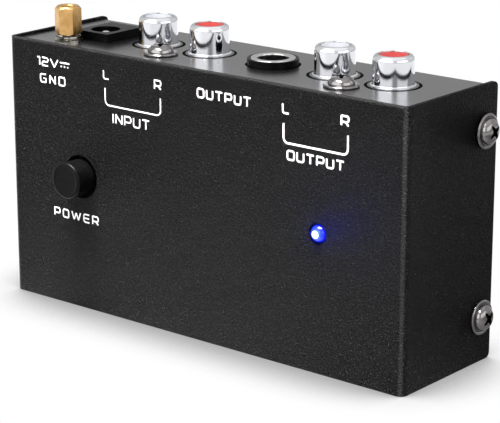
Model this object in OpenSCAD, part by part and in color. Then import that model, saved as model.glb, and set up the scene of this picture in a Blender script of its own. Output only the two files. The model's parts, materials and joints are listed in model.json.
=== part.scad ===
// Phono preamp: a small amplifier box in two folded steel channels, with its sockets on one
// long edge, a latching power button and a power lamp on the labelled face.
// X runs along the width, +Y goes from the labelled face to the rear plate, +Z is up.
// The origin is the bottom centre of the whole part's box.

/* [Case] */
// Width across the cover's two side flanges
case_w = 105; // [105:1:110]
// Height of the cover, from its lower edge to its upper edge
case_h = 57; // [57:1:62]
// Depth from the labelled face to the flanges' back edges
case_d = 30; // [30:0.5:32]
// Thickness of the steel sheet
sheet_t = 1; // [0.8:0.1:1.2]
// Outer radius of the cover's two bends
cover_bend_r = 1.6; // [1.4:0.1:2]
// Outer radius of the chassis bends
chassis_bend_r = 1.9; // [1.6:0.1:2.2]
// Radius of the flanges' back corners
flange_corner_r = 1.2; // [1:0.1:3]
// How far the cover's edges stand proud of the jack panel and the bottom panel
lip = 0.5; // [0.4:0.1:1.2]

/* [Sockets] */
// Depth of the sockets' axes behind the labelled face
socket_y = 15.4; // [15:0.1:16]
// Centre of the input pair across the width
input_x = -16; // [-16.5:0.1:-15.5]
// Centre of the output pair across the width
output_x = 30.8; // [30.4:0.1:31.2]
// Distance between the two barrels of a pair
barrel_pitch = 14.2; // [14:0.1:14.6]
// Outer diameter of a phono barrel
barrel_d = 8.3; // [8.2:0.05:8.4]
// How far a phono barrel stands above the jack panel
barrel_out = 6.2; // [6:0.1:9]
// Centre of the 6.35 mm jack across the width
phone_x = 8; // [7.8:0.1:8.2]
// Diameter of the 6.35 mm jack's bore
phone_bore_d = 6.4; // [6.4:0.05:6.5]
// How far the 6.35 mm jack's snout stands above the jack panel
phone_out = 1.5; // [1.5:0.1:3]
// Centre of the power inlet across the width
inlet_x = -36.8; // [-37:0.1:-36.6]
// Diameter of the power inlet's centre pin
inlet_pin_d = 2.1; // [2:0.1:2.5]
// How far the power inlet stands above the jack panel
inlet_out = 1.8; // [1.5:0.1:3]

/* [Ground post] */
// Ground post axis across the width
ground_x = -40.4; // [-41:0.1:-40]
// Ground post axis behind the labelled face
ground_y = 6; // [5.6:0.1:6]
// Size of the ground nut across its flats
nut_flats = 5; // [4.5:0.1:5]
// Height of the ground nut
nut_h = 6; // [5:0.5:8]

/* [Button and lamp] */
// Power button axis across the width
button_x = -32; // [-32.5:0.1:-31.5]
// Power button axis above the lower edge
button_z = 29.2; // [29:0.1:29.4]
// Diameter of the power button
button_d = 7.9; // [7.5:0.1:8.2]
// How far the button stands out of the labelled face
button_out = 4.6; // [3.5:0.1:6]
// Travel of the button from rest to its stop
button_travel = 2.6; // [1.5:0.1:2.6]
// Power lamp axis across the width
lamp_x = 31.6; // [31:0.1:32]
// Power lamp axis above the lower edge
lamp_z = 28.8; // [28:0.1:29.5]
// Diameter of the power lamp's lens
lamp_d = 3.7; // [3:0.1:3.8]

/* [Fasteners and feet] */
// Diameter of the washer head on the case screws
head_d = 7.2; // [6.8:0.1:7.2]
// Depth of the side screws behind the labelled face
side_screw_y = 26.3; // [26:0.1:26.4]
// Height of the side screws from the nearer edge
side_screw_inset = 9.4; // [9:0.1:10]
// Thickness of the rubber feet
foot_h = 1.6; // [1.2:0.1:2.4]
// Diameter of the rubber feet
foot_d = 8; // [6:0.5:9]

/* [Hidden] */

// Small clearances between sheets, between a part and its hole, and in a running fit
sheet_gap = 0.15;
play = 0.05;

// Case planes, measured from the labelled face and the cover's lower edge
rear_out = case_d - 0.2;
rear_in = rear_out - sheet_t;
panel_z = case_h - lip;
panel_under = panel_z - sheet_t;
chassis_w = case_w - 2 * (sheet_t + sheet_gap);
foot_out = rear_out + foot_h - case_d;
front_y = (button_out - foot_out - case_d) / 2;

// Circuit board: its face carries the parts and looks at the labelled face
board_y = 24;
board_t = 1.6;
board_w = 96;
board_low = 4;
board_high = 52;
board_back = board_y + board_t;
tail_end = board_back + 1.2;
spacer_spots = [for (x = [-45.5, 45.5], z = [8, 40]) [x, z]];
spacer_r = 2.6;
spigot_r = 2;
screw_reach = 4;
board_screw_r = 1.2;

// Phono sockets
barrel_r = barrel_d / 2;
barrel_wall = 0.7;
barrel_rim_r = 3;
rim_round = 1.1;
rim_h = 1.1;
flare_r = 0.3;
bead_r = 4.57;
collar_r = 5.1;
collar_top = panel_z + 0.1;
shank_r = barrel_r - 0.25;
barrel_top = panel_z + barrel_out;
barrel_foot = 47;
socket_hole_r = 5.7;
block_w = 28;
block_front = 9.6;
block_h = 11.4;
block_low = panel_under - block_h;
boss_w = 8;
boss_front = 4.9;
panel_screw_y = 8.2;
pin_r = 1.6;

// 6.35 mm jack
phone_r = phone_bore_d / 2;
phone_top = panel_z + phone_out;
phone_low = 27.1;
phone_w = 16.4;
phone_front = 6.9;
bush_r = 4.6;
bush_h = 3;
snout_r = 5.3;

// Power inlet
inlet_w = 9;
inlet_front = 9.4;
inlet_face_d = 10.8;
inlet_low = 43.9;
inlet_top = panel_z + inlet_out;
inlet_axis_y = 13.7;
inlet_bore_r = 3.15;
inlet_bore_depth = 9.5;
inlet_pin_r = inlet_pin_d / 2;
inlet_shoulder_r = inlet_pin_r + 0.4;

// Ground post stack, from the inside out
stud_r = 1.45;
post_r = 1.34;
groove_h = 0.7;
tag_t = 0.5;
washer_t = 0.5;
lock_t = 0.65;
lock_rise = 0.4;
lock_low = panel_z + washer_t + 0.02;
nut_low = lock_low + lock_t + lock_rise + 0.02;
nut_top = nut_low + nut_h;
stud_top = nut_low + 2.9;

// Switch behind the button
switch_w = 8.6;
switch_wall = 0.9;
switch_front = 14.4;
slider_y = switch_front + 1 + play;
slider_w = 6.4;
slider_t = 3;
stem_r = 1.6;
stem_front = 4.5;
cap_back = 9.4;
base_t = 0.8;
spring_wire_r = 0.2;
spring_mean_r = 1.75;
spring_turns = 5;

// Parts on the board, as [x, z] spots
chip_spots = [[-14, 34], [-14, 20]];
film_spots = [[-14, 27], [7.5, 22], [7.5, 18], [23, 38]];
small_can_spots = [[-24, 40], [-4.8, 40], [21.5, 24], [21.5, 31.5]];
large_can_spots = [[38.5, 17], [38.5, 35]];
resistor_spots = [for (x = [-30, -14, 7.5, 24.5], z = [6.5, 9.5, 12.5]) [x, z]];
diode_spot = [-38, 16.5];
regulator_spot = [-41, 22];
chip_pitch = 2.54;
chip_row = 3.81;
film_pitch = 5;
can_pitch = 2;
large_can_pitch = 3.5;
resistor_pitch = 10.16;
regulator_pitch = 1.27;
lamp_pitch = 2.54;
lead_r = 0.25;
phone_leaf_z = [31, 38];
lead_spots = concat(
    [for (c = chip_spots, i = [0:3], s = [-1, 1]) c + [(i - 1.5) * chip_pitch, s * chip_row]],
    [for (c = film_spots, s = [-1, 1]) c + [s * film_pitch / 2, 0]],
    [for (c = small_can_spots, s = [-1, 1]) c + [s * can_pitch / 2, 0]],
    [for (c = large_can_spots, s = [-1, 1]) c + [s * large_can_pitch / 2, 0]],
    [for (c = resistor_spots, s = [-1, 1]) c + [s * resistor_pitch / 2, 0]],
    [for (s = [-1, 1]) diode_spot + [s * resistor_pitch / 2, 0]],
    [for (s = [-1:1]) regulator_spot + [s * regulator_pitch, 0]]
);
terminal_spots = [for (sx = [-1, 1], sz = [-1:1]) [button_x + sx * 2.8, button_z + sz * 2.5]];
lamp_spots = [for (s = [-1, 1]) [lamp_x, lamp_z + s * lamp_pitch / 2]];
barrel_xs = [for (x = [input_x, output_x], s = [-1, 1]) x + s * barrel_pitch / 2];
socket_tail_spots = concat(
    [for (x = barrel_xs, z = [46, 47.6]) [x, z]],
    [[phone_x + 6.8, phone_leaf_z[0] + 0.5], [phone_x - 6.8, phone_leaf_z[1] + 0.5]],
    [[inlet_x, 46.6], [inlet_x - 3.6, 47.5]]
);

round_fn = 64;
wire_fn = 16;

// ---- Shared shapes -------------------------------------------------------------------

// Puts a shape drawn from the labelled face into the part's own frame
module in_case() {
    translate([0, front_y, 0]) children();
}

// A shape whose +Z points out of the board, towards the labelled face, at spot [x, z]
module on_board(spot) {
    translate([spot[0], board_y, spot[1]]) rotate([90, 0, 0]) children();
}

// A shape whose +Z points to the rear, starting at depth y, at spot [x, z]
module facing_rear(spot, y) {
    translate([spot[0], y, spot[1]]) rotate([-90, 0, 0]) children();
}

// A rectangle with round corners, centred
module round_rect(w, h, r) {
    square([w - 2 * r, h], center = true);
    square([w, h - 2 * r], center = true);
    for (sx = [-1, 1], sy = [-1, 1])
        translate([sx * (w / 2 - r), sy * (h / 2 - r)]) circle(r, $fn = round_fn);
}

// Section of a folded channel: web along X at y = 0 to t, walls running to y = d
module channel(w, d, r, t) {
    difference() {
        intersection() {
            translate([0, d]) round_rect(w, 2 * d, r);
            translate([-w, 0]) square([2 * w, d]);
        }
        translate([0, d + t]) round_rect(w - 2 * t, 2 * d, r - t);
    }
}

// Side points of a bent strip of thickness t that follows the points p
function turn(v) = [-v[1], v[0]] / norm(v);
function side_at(p, i) = turn(p[min(i + 1, len(p) - 1)] - p[max(i - 1, 0)]);
module bent_strip(p, t) {
    n = len(p);
    polygon(concat(
        [for (i = [0:n - 1]) p[i] + side_at(p, i) * t / 2],
        [for (i = [n - 1:-1:0]) p[i] - side_at(p, i) * t / 2]
    ));
}

// A screw with a pan head on its own washer, head up on z = 0; a groove parts the washer's raised
// rim from the head
module washer_screw(shank_r, shank_len, washer_d) {
    rim_r = washer_d / 2;
    head_r = rim_r - 0.9;
    head_h = 2.1;
    recess_turn = 35;
    difference() {
        rotate_extrude($fn = round_fn) polygon([
            [0, -shank_len], [shank_r * 0.7, -shank_len], [shank_r, -shank_len + 0.5], [shank_r, 0],
            [rim_r - 0.15, 0], [rim_r, 0.15], [rim_r, 0.4], [rim_r - 0.15, 0.55], [rim_r - 0.4, 0.6],
            [rim_r - 0.6, 0.5], [head_r + 0.1, 0.3], [head_r, 0.3], [head_r, 0.6],
            [head_r - 0.1, 1.05], [head_r - 0.3, 1.4], [head_r - 0.65, 1.75], [head_r - 1.2, head_h - 0.08],
            [head_r - 1.8, head_h], [0, head_h]
        ]);
        rotate(recess_turn) cross_recess(head_h, 1.65);
    }
}

// The cross recess of a screw head whose top is at z = top: four tapered arms round an open middle
module cross_recess(top, arm) {
    depth = 1.25;
    tip = 0.25;
    middle = 0.5;
    translate([0, 0, top - depth]) linear_extrude(depth + 0.5)
        polygon([for (i = [0:3], p = [[arm, -tip], [arm, tip], [middle, middle]])
            [p[0] * cos(90 * i) - p[1] * sin(90 * i), p[0] * sin(90 * i) + p[1] * cos(90 * i)]]);
}

// ---- Case ----------------------------------------------------------------------------

module front_cover() {
    color("#26262a") in_case() difference() {
        intersection() {
            linear_extrude(case_h) channel(case_w, case_d, cover_bend_r, sheet_t);
            translate([0, 0, case_h / 2]) rotate([90, 0, 90]) linear_extrude(case_w + 2, center = true)
                intersection() {
                    round_rect(2 * case_d, case_h, flange_corner_r);
                    translate([0, -case_h / 2]) square([case_d, case_h]);
                }
        }
        facing_rear([button_x, button_z], -1) cylinder(r = 4.65, h = sheet_t + 2, $fn = round_fn);
        facing_rear([lamp_x, lamp_z], -1) cylinder(r = 2.1, h = sheet_t + 2, $fn = round_fn);
        for (z = [side_screw_inset, case_h - side_screw_inset]) translate([0, side_screw_y, z])
            rotate([0, 90, 0]) cylinder(r = 1.7, h = case_w + 2, center = true, $fn = round_fn);
    }
}

ear_h = 10;
module chassis() {
    color("#3a3a3e") in_case() difference() {
        union() {
            difference() {
                translate([-chassis_w / 2, rear_out, case_h / 2]) rotate([90, 0, 90]) rotate(90)
                    linear_extrude(chassis_w)
                        channel(case_h - 2 * lip, rear_out - sheet_t - sheet_gap, chassis_bend_r, sheet_t);
                for (z = [side_screw_inset, case_h - side_screw_inset], s = [-1, 1])
                    translate([s * chassis_w / 2, rear_out, z])
                        cube([2 * chassis_bend_r, 2 * chassis_bend_r, ear_h + 1], center = true);
            }
            for (z = [side_screw_inset, case_h - side_screw_inset])
                translate([0, rear_out, z]) mirror([0, 1, 0]) linear_extrude(ear_h, center = true)
                    channel(chassis_w, 8, chassis_bend_r, sheet_t);
        }
        for (x = barrel_xs) panel_hole([x, socket_y], socket_hole_r);
        panel_hole([phone_x, socket_y], socket_hole_r);
        panel_hole([ground_x, ground_y], 1.7);
        for (x = [input_x, output_x]) panel_hole([x, panel_screw_y], 1.7);
        translate([inlet_x - inlet_w / 2 - 0.2, inlet_front - 0.2, panel_under - 1])
            cube([inlet_w + 0.4, inlet_face_d + 0.4, sheet_t + 2]);
        for (z = [side_screw_inset, case_h - side_screw_inset]) translate([0, side_screw_y, z])
            rotate([0, 90, 0]) cylinder(r = 1.5, h = case_w, center = true, $fn = round_fn);
        for (p = spacer_spots) facing_rear(p, rear_in - 1)
            cylinder(r = spigot_r + play, h = sheet_t + 2, $fn = round_fn);
    }
}

module panel_hole(p, r) {
    translate([p[0], p[1], panel_under - 1]) cylinder(r = r, h = sheet_t + 2, $fn = round_fn);
}

module cover_screws() {
    color("#b9bbc0") in_case()
        for (s = [-1, 1], z = [side_screw_inset, case_h - side_screw_inset])
            translate([s * case_w / 2, side_screw_y, z]) rotate([0, s * 90, 0])
                washer_screw(stud_r, screw_reach, head_d);
}

module panel_screws() {
    color("#c4c6ca") in_case() for (x = [input_x, output_x])
        translate([x, panel_screw_y, panel_z]) washer_screw(stud_r, 7, head_d);
}

module rubber_feet() {
    color("#1c1c1e") in_case() for (x = [-38, 38], z = [10, 47])
        facing_rear([x, z], rear_out) cylinder(d1 = foot_d, d2 = foot_d - 1, h = foot_h, $fn = round_fn);
}

// ---- Circuit board ---------------------------------------------------------------------

module circuit_board() {
    color("#2f6b45") in_case() difference() {
        facing_rear([0, (board_low + board_high) / 2], board_y)
            linear_extrude(board_t) round_rect(board_w, board_high - board_low, 1.5);
        for (p = concat(lead_spots, terminal_spots, lamp_spots)) board_hole(p, 0.45);
        for (p = socket_tail_spots) board_hole(p, 0.65);
        for (p = spacer_spots) board_hole(p, board_screw_r + 0.2);
    }
}

module board_hole(p, r) {
    facing_rear(p, board_y - 1) cylinder(r = r, h = board_t + 2, $fn = 24);
}

module board_spacers() {
    color("#b5a36a") in_case() for (p = spacer_spots) facing_rear(p, board_back) difference() {
        union() {
            cylinder(r = spacer_r, h = rear_in - board_back, $fn = round_fn);
            cylinder(r = spigot_r, h = rear_out - board_back, $fn = round_fn);
        }
        translate([0, 0, -1]) cylinder(r = board_screw_r + play, h = 6, $fn = round_fn);
    }
}

module board_screws() {
    color("#c4c6ca") in_case() for (p = spacer_spots) on_board(p) difference() {
        union() {
            cylinder(r = 2.25, h = 0.9, $fn = round_fn);
            translate([0, 0, 0.9]) cylinder(r1 = 2.25, r2 = 1.6, h = 0.6, $fn = round_fn);
            translate([0, 0, -4.4]) cylinder(r = board_screw_r, h = 4.5, $fn = round_fn);
        }
        cross_recess(1.5, 1.3);
    }
}

// ---- Phono sockets ---------------------------------------------------------------------

// Moulded block behind the jack panel: two bores for the barrels with collars that fill the panel's
// holes, a boss for the panel screw and a slot for the solder legs of each socket
module jack_block(x) {
    color("#1d1d1f") in_case() translate([x, 0, 0]) difference() {
        union() {
            translate([0, (block_front + board_y) / 2, block_low])
                linear_extrude(block_h) round_rect(block_w, board_y - block_front, 0.8);
            translate([0, (boss_front + socket_y) / 2, panel_under - 8.6])
                linear_extrude(8.6) round_rect(boss_w, socket_y - boss_front, 0.8);
            for (s = [-1, 1]) translate([s * barrel_pitch / 2, socket_y, panel_under - 1])
                cylinder(r = collar_r, h = collar_top - panel_under + 1, $fn = 96);
        }
        for (s = [-1, 1]) translate([s * barrel_pitch / 2, 0, 0]) {
            translate([0, socket_y, block_low + 1.5])
                cylinder(r = shank_r + play, h = block_h, $fn = round_fn);
            translate([-0.8, socket_y, block_low + 1.5]) cube([1.6, 10, 2.8]);
        }
        translate([0, panel_screw_y, panel_under - 7.4]) cylinder(r = stud_r + play, h = 8, $fn = round_fn);
        translate([-2.4, socket_y + 2, block_low - 1]) cube([4.8, 4, block_h - 1.5]);
    }
}

// Drawn steel barrel with a rolled rim and a flared bead that sits on the collar; below the bead it
// steps in to its shank, which ends in a solder leg
module jack_shell(x) {
    inner_r = barrel_r - barrel_wall;
    bead_top = collar_top + 0.1;
    color("#d8dade") in_case() translate([x, socket_y, 0]) {
        rotate_extrude($fn = 96) difference() {
            union() {
                translate([inner_r, barrel_foot]) square([shank_r - inner_r, collar_top - barrel_foot]);
                translate([inner_r, collar_top]) square([barrel_wall, barrel_top - collar_top - rim_round]);
                translate([barrel_rim_r, barrel_top - rim_h])
                    square([barrel_r - barrel_rim_r - rim_round, rim_h]);
                translate([barrel_r - rim_round, barrel_top - rim_round]) circle(rim_round, $fn = 48);
                translate([barrel_r - 0.1, collar_top]) square([bead_r - barrel_r + 0.1, 0.1]);
                translate([barrel_r, bead_top]) difference() {
                    square(flare_r);
                    translate([flare_r, flare_r]) circle(flare_r, $fn = 48);
                }
            }
            square([barrel_rim_r, barrel_top + 1]);
            square([inner_r, barrel_top - rim_h]);
        }
        translate([-0.5, inner_r + 0.2, barrel_foot]) cube([1, board_y - socket_y - inner_r - 1, 1.2]);
        translate([-0.4, 6, barrel_foot + 0.3]) cube([0.8, tail_end - socket_y - 6, 0.6]);
    }
}

// Moulded plug inside the barrel, dished round the pin hole
module jack_insulator(x, tint) {
    inner_r = barrel_r - barrel_wall - play;
    face_z = barrel_top - 0.25;
    tube_r = pin_r + 0.35 + play;
    color(tint) in_case() translate([x, socket_y, 0]) rotate_extrude($fn = round_fn) polygon([
        [tube_r, barrel_foot + 0.2], [inner_r, barrel_foot + 0.2], [inner_r, barrel_top - 1.2],
        [barrel_rim_r - play, barrel_top - 1.2], [barrel_rim_r - play, face_z],
        [barrel_rim_r - 0.2, face_z], [pin_r + 0.1, face_z - 0.8], [pin_r + 0.1, face_z - 1.7],
        [tube_r, face_z - 1.7]
    ]);
}

// Split tube that grips the plug's pin, with its solder tail
module jack_contact(x) {
    tube_r = pin_r + 0.35;
    top = barrel_top - 2.1;
    foot = barrel_foot - 1.2;
    color("#c9b27a") in_case() translate([x, socket_y, 0]) {
        difference() {
            translate([0, 0, foot]) cylinder(r = tube_r, h = top - foot, $fn = 48);
            translate([0, 0, foot + 0.4]) cylinder(r = pin_r, h = top - foot, $fn = 48);
            for (a = [0, 90]) rotate(a) translate([0, 0, top - 4])
                cube([0.4, 3 * tube_r, 8.1], center = true);
        }
        translate([-0.4, tube_r - 0.3, foot]) cube([0.8, tail_end - socket_y - tube_r + 0.3, 0.4]);
    }
}

// ---- 6.35 mm jack ------------------------------------------------------------------------

module phone_jack_body() {
    color("#19191b") in_case() difference() {
        union() {
            translate([phone_x, (phone_front + board_y) / 2, phone_low])
                linear_extrude(panel_under - phone_low) round_rect(phone_w, board_y - phone_front, 1);
            translate([phone_x, socket_y, panel_under - 1])
                cylinder(r = snout_r, h = phone_top - panel_under + 0.9, $fn = 96);
        }
        translate([phone_x, socket_y, phone_low + 1.5])
            cylinder(r = phone_r + 0.5, h = phone_top, $fn = 96);
        translate([phone_x, socket_y, phone_top - bush_h - 0.1])
            cylinder(r = bush_r + play, h = bush_h + 1, $fn = 96);
        leaf_slot(1, phone_leaf_z[0]);
        leaf_slot(-1, phone_leaf_z[1]);
    }
}

// Pocket for one contact leaf, open to the bore and to the board
module leaf_slot(side, z) {
    translate([phone_x, socket_y, z - 1]) mirror([side < 0 ? 1 : 0, 0, 0])
        translate([phone_r - 0.6, -1.7, 0]) cube([4.9, board_y - socket_y + 2, 13]);
}

module phone_jack_bush() {
    top = phone_top;
    color("#cfd1d4") in_case() translate([phone_x, socket_y, 0]) rotate_extrude($fn = 96) polygon([
        [phone_r, top - bush_h], [bush_r, top - bush_h], [bush_r, top - 0.2], [bush_r - 0.2, top],
        [phone_r + 0.3, top], [phone_r, top - 0.3]
    ]);
}

// Two spring leaves that press on the plug's tip and ring
module phone_jack_leaves() {
    leaf_t = 0.35;
    color("#c9b27a") in_case() for (i = [0, 1])
        translate([phone_x, socket_y, phone_leaf_z[i]]) mirror([i, 0, 0]) {
            rotate([90, 0, 0]) linear_extrude(2.6, center = true) bent_strip([
                [6.8, 0], [6.8, 2.5], [6.1, 5.5], [4.2, 7.8], [3, 8.9], [3, 9.4], [4.4, 10.8]
            ], leaf_t);
            translate([6.8 - leaf_t / 2, -1.3, 0]) cube([leaf_t, 6, 1.2]);
            translate([6.8 - leaf_t / 2, 4, 0.1]) cube([leaf_t, tail_end - socket_y - 4, 0.8]);
        }
}

// ---- Power inlet ---------------------------------------------------------------------------

module power_inlet_body() {
    color("#151517") in_case() difference() {
        union() {
            translate([inlet_x, (inlet_front + board_y) / 2, inlet_low])
                linear_extrude(panel_under - 0.1 - inlet_low) round_rect(inlet_w, board_y - inlet_front, 0.4);
            translate([inlet_x, inlet_front + inlet_face_d / 2, panel_under - 1])
                linear_extrude(inlet_top - panel_under + 1) round_rect(inlet_w, inlet_face_d, 0.4);
        }
        translate([inlet_x, inlet_axis_y, inlet_top - inlet_bore_depth])
            cylinder(r = inlet_bore_r, h = inlet_bore_depth + 1, $fn = 96);
        translate([inlet_x, inlet_axis_y, inlet_low - 1])
            cylinder(r = inlet_shoulder_r + play, h = 10, $fn = 48);
        translate([inlet_x - 0.8, inlet_axis_y, inlet_low - 1]) cube([1.6, 12, 4.4]);
        translate([inlet_x - 4.1, inlet_axis_y - 1.2, 47]) cube([2, 12, 6.9]);
    }
}

// Centre pin with a shoulder in the block's floor, a round nose and a solder tail
module power_inlet_pin() {
    nose_z = inlet_top - 0.4;
    floor_z = inlet_top - inlet_bore_depth;
    color("#d6d8dc") in_case() {
        translate([inlet_x, inlet_axis_y, 0]) rotate_extrude($fn = 48) polygon([
            [0, 46.2], [inlet_shoulder_r, 46.2], [inlet_shoulder_r, floor_z], [inlet_pin_r, floor_z],
            [inlet_pin_r, nose_z - 0.6], [inlet_pin_r - 0.15, nose_z - 0.25],
            [inlet_pin_r - 0.45, nose_z - 0.05], [inlet_pin_r - 0.7, nose_z], [0, nose_z]
        ]);
        translate([inlet_x - 0.45, inlet_axis_y + 0.8, 46.3])
            cube([0.9, tail_end - inlet_axis_y - 0.8, 0.6]);
    }
}

// Side leaf that presses on the plug's barrel
module power_inlet_leaf() {
    leaf_t = 0.3;
    color("#cfd1d4") in_case() translate([inlet_x, inlet_axis_y, 47.2]) {
        rotate([90, 0, 0]) linear_extrude(2, center = true)
            bent_strip([[-3.6, 0], [-3.6, 2], [-3.3, 3.6], [-2.75, 4.6], [-2.75, 5.1], [-3.2, 6.2]], leaf_t);
        translate([-3.6 - leaf_t / 2, 0.6, 0]) cube([leaf_t, tail_end - inlet_axis_y - 0.6, 0.7]);
    }
}

// ---- Ground post -----------------------------------------------------------------------------

module at_ground() {
    in_case() translate([ground_x, ground_y, 0]) children();
}

module ground_stud() {
    head_top = panel_under - tag_t;
    color("#c4c6ca") at_ground() difference() {
        rotate_extrude($fn = round_fn) polygon([
            [0, head_top - 2], [2.2, head_top - 2], [2.75, head_top - 1.4], [2.75, head_top],
            [post_r, head_top], [post_r, stud_top - 0.5], [post_r - 0.4, stud_top], [0, stud_top]
        ]);
        translate([0, 0, head_top - 2]) mirror([0, 0, 1]) cross_recess(0, 1.5);
    }
}

// Solder tag: an eye under the stud's head, an arm along the panel and a foot on the board
module ground_tag() {
    low = panel_under - tag_t;
    arm_x = -5.1;
    arm_w = 2.6;
    reach = board_y - ground_y;
    color("#d0d2d6") at_ground() difference() {
        union() {
            translate([0, 0, low]) linear_extrude(tag_t) {
                circle(3, $fn = round_fn);
                translate([arm_x - arm_w / 2, -arm_w / 2]) square([-arm_x + arm_w / 2, arm_w]);
                translate([arm_x - arm_w / 2, -arm_w / 2]) square([arm_w, reach + arm_w / 2]);
            }
            translate([arm_x - arm_w / 2, reach - tag_t, board_high - 5])
                cube([arm_w, tag_t, low - board_high + 5.2]);
        }
        translate([0, 0, low - 1]) cylinder(r = 1.6, h = 3, $fn = round_fn);
    }
}

module ground_plain_washer() {
    color("#c9cbcf") at_ground() translate([0, 0, panel_z]) difference() {
        cylinder(r = 3, h = washer_t, $fn = round_fn);
        translate([0, 0, -1]) cylinder(r = 1.6, h = 3, $fn = round_fn);
    }
}

// Sweeps a section, given as points [radius, height], round the Z axis while it rises
function ring_point(q, a, rise) = [q[0] * cos(a), q[0] * sin(a), q[1] + rise * a / 360];
module rising_sweep(section, turns, steps, pitch) {
    m = len(section);
    n = steps;
    points = [for (i = [0:n], q = section) ring_point(q, 360 * turns * i / n, pitch)];
    sides = [for (i = [0:n - 1], j = [0:m - 1])
        [i * m + j, (i + 1) * m + j, (i + 1) * m + (j + 1) % m, i * m + (j + 1) % m]];
    first = [for (j = [0:m - 1]) j];
    last = [for (j = [m - 1:-1:0]) n * m + j];
    polyhedron(points, concat([first], sides, [last]), convexity = 6);
}

// Split lock washer: one turn of square wire that rises from end to end
module ground_lock_washer() {
    section = [[1.65, 0], [1.65, lock_t], [2.65, lock_t], [2.65, 0]];
    turns = 0.96;
    color("#c9cbcf") at_ground() translate([0, 0, lock_low]) rotate(-60)
        rising_sweep(section, turns, 48, lock_rise / turns);
}

// Hexagon nut with chamfered ends: one bore, with a relief groove between the stretch that runs
// on the stud and the stretch that takes the wire's screw
module ground_nut() {
    corner_r = nut_flats / sqrt(3);
    chamfer = 0.45;
    bore_r = stud_r + play;
    groove_z = stud_top - nut_low + 0.2;
    color("#c79a4b") at_ground() translate([0, 0, nut_low]) difference() {
        intersection() {
            rotate(34) cylinder(r = corner_r, h = nut_h, $fn = 6);
            rotate_extrude($fn = round_fn) polygon([
                [0, 0], [corner_r - chamfer, 0], [corner_r + 0.1, 0.35], [corner_r + 0.1, nut_h - 0.75],
                [corner_r - 0.6, nut_h], [0, nut_h]
            ]);
        }
        translate([0, 0, -1]) cylinder(r = bore_r, h = nut_h + 2, $fn = round_fn);
        translate([0, 0, groove_z]) cylinder(r = bore_r + 0.2, h = groove_h, $fn = round_fn);
        translate([0, 0, nut_h - 0.3]) cylinder(r1 = bore_r, r2 = bore_r + 0.35, h = 0.35, $fn = round_fn);
    }
}

// ---- Power button and switch -------------------------------------------------------------------

module power_button() {
    r = button_d / 2;
    long = button_out + cap_back;
    color("#1b1b1d") in_case() translate([button_x, -button_out, button_z]) rotate([-90, 0, 0])
        difference() {
            rotate_extrude($fn = 96) polygon([
                [0, 0.12], [r - 1.1, 0.06], [r - 0.7, 0], [r - 0.45, 0.06], [r - 0.12, 0.3], [r, 0.6],
                [r, 1.6], [r - 0.12, 1.75], [r - 0.12, long], [0, long]
            ]);
            translate([0, 0, long - (cap_back - stem_front) - 0.1])
                cylinder(r = stem_r + play, h = 10, $fn = round_fn);
        }
}

module at_switch(y) {
    in_case() facing_rear([button_x, button_z], y) children();
}

module switch_plunger() {
    color("#e4e2da") {
        at_switch(stem_front) cylinder(r = stem_r, h = slider_y - stem_front + 1, $fn = round_fn);
        at_switch(slider_y) linear_extrude(slider_t) square(slider_w, center = true);
        at_switch(slider_y + slider_t) cylinder(r = 1.2, h = 0.8, $fn = round_fn);
    }
}

module switch_housing() {
    cavity = switch_w - 2 * switch_wall;
    color("#2b2b2e") at_switch(switch_front) difference() {
        linear_extrude(board_y - base_t - switch_front) round_rect(switch_w, switch_w, 0.4);
        translate([-cavity / 2, -cavity / 2, 1]) cube([cavity, cavity, 20]);
        translate([0, 0, -1]) cylinder(r = stem_r + 0.08, h = 3, $fn = round_fn);
    }
}

module switch_base() {
    color("#3c3a34") in_case() difference() {
        union() {
            facing_rear([button_x, button_z], board_y - base_t)
                linear_extrude(base_t) round_rect(switch_w, switch_w, 0.4);
            facing_rear([button_x, button_z], board_y - base_t - 1)
                cylinder(r = 1.2, h = 1.1, $fn = round_fn);
        }
        for (p = terminal_spots) facing_rear(p, board_y - 3) cylinder(r = 0.4, h = 5, $fn = wire_fn);
    }
}

// Return spring between the slider and the base
module switch_spring() {
    length = board_y - base_t - slider_y - slider_t - 2 * spring_wire_r - 0.1;
    section = [for (k = [0:5]) [spring_mean_r + spring_wire_r * cos(60 * k), spring_wire_r * sin(-60 * k)]];
    color("#b9bbc0") at_switch(slider_y + slider_t + spring_wire_r + play)
        rising_sweep(section, spring_turns, spring_turns * 16, length / spring_turns);
}

module switch_terminals() {
    front = board_y - base_t - 0.6;
    color("#d0d2d6") in_case() for (p = terminal_spots)
        facing_rear(p, front) cylinder(r = 0.35, h = tail_end - front, $fn = wire_fn);
}

// ---- Power lamp ----------------------------------------------------------------------------------

module lamp_lens() {
    r = lamp_d / 2;
    tip_y = -0.9;
    length = 4.6 - tip_y;
    color("#2036ff") in_case() translate([lamp_x, tip_y, lamp_z]) rotate([-90, 0, 0]) difference() {
        rotate_extrude($fn = round_fn) {
            intersection() {
                translate([0, r]) circle(r, $fn = round_fn);
                square([r, r]);
            }
            translate([0, r]) square([r, length - r]);
            translate([0, length - 1]) square([r + 0.4, 1]);
        }
        translate([-r, r + 0.05, length - 1]) cube([2 * r, r, 2]);
    }
}

module lamp_leads() {
    color("#d0d2d6") in_case() for (p = lamp_spots)
        facing_rear(p, 4.6) cylinder(r = lead_r, h = tail_end - 4.6, $fn = wire_fn);
}

// ---- Parts on the board --------------------------------------------------------------------------

module amplifier_chips() {
    color("#232326") in_case() for (p = chip_spots) on_board(p) difference() {
        rotate([90, 0, 90]) linear_extrude(9.6, center = true)
            polygon([[-2.9, 0.6], [2.9, 0.6], [3.2, 2.2], [2.9, 4], [-2.9, 4], [-3.2, 2.2]]);
        translate([-4.8, 0, 3.5]) cylinder(r = 0.8, h = 1, $fn = 32);
        translate([-3.6, -1.9, 3.7]) cylinder(r = 0.5, h = 1, $fn = 32);
    }
}

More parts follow.
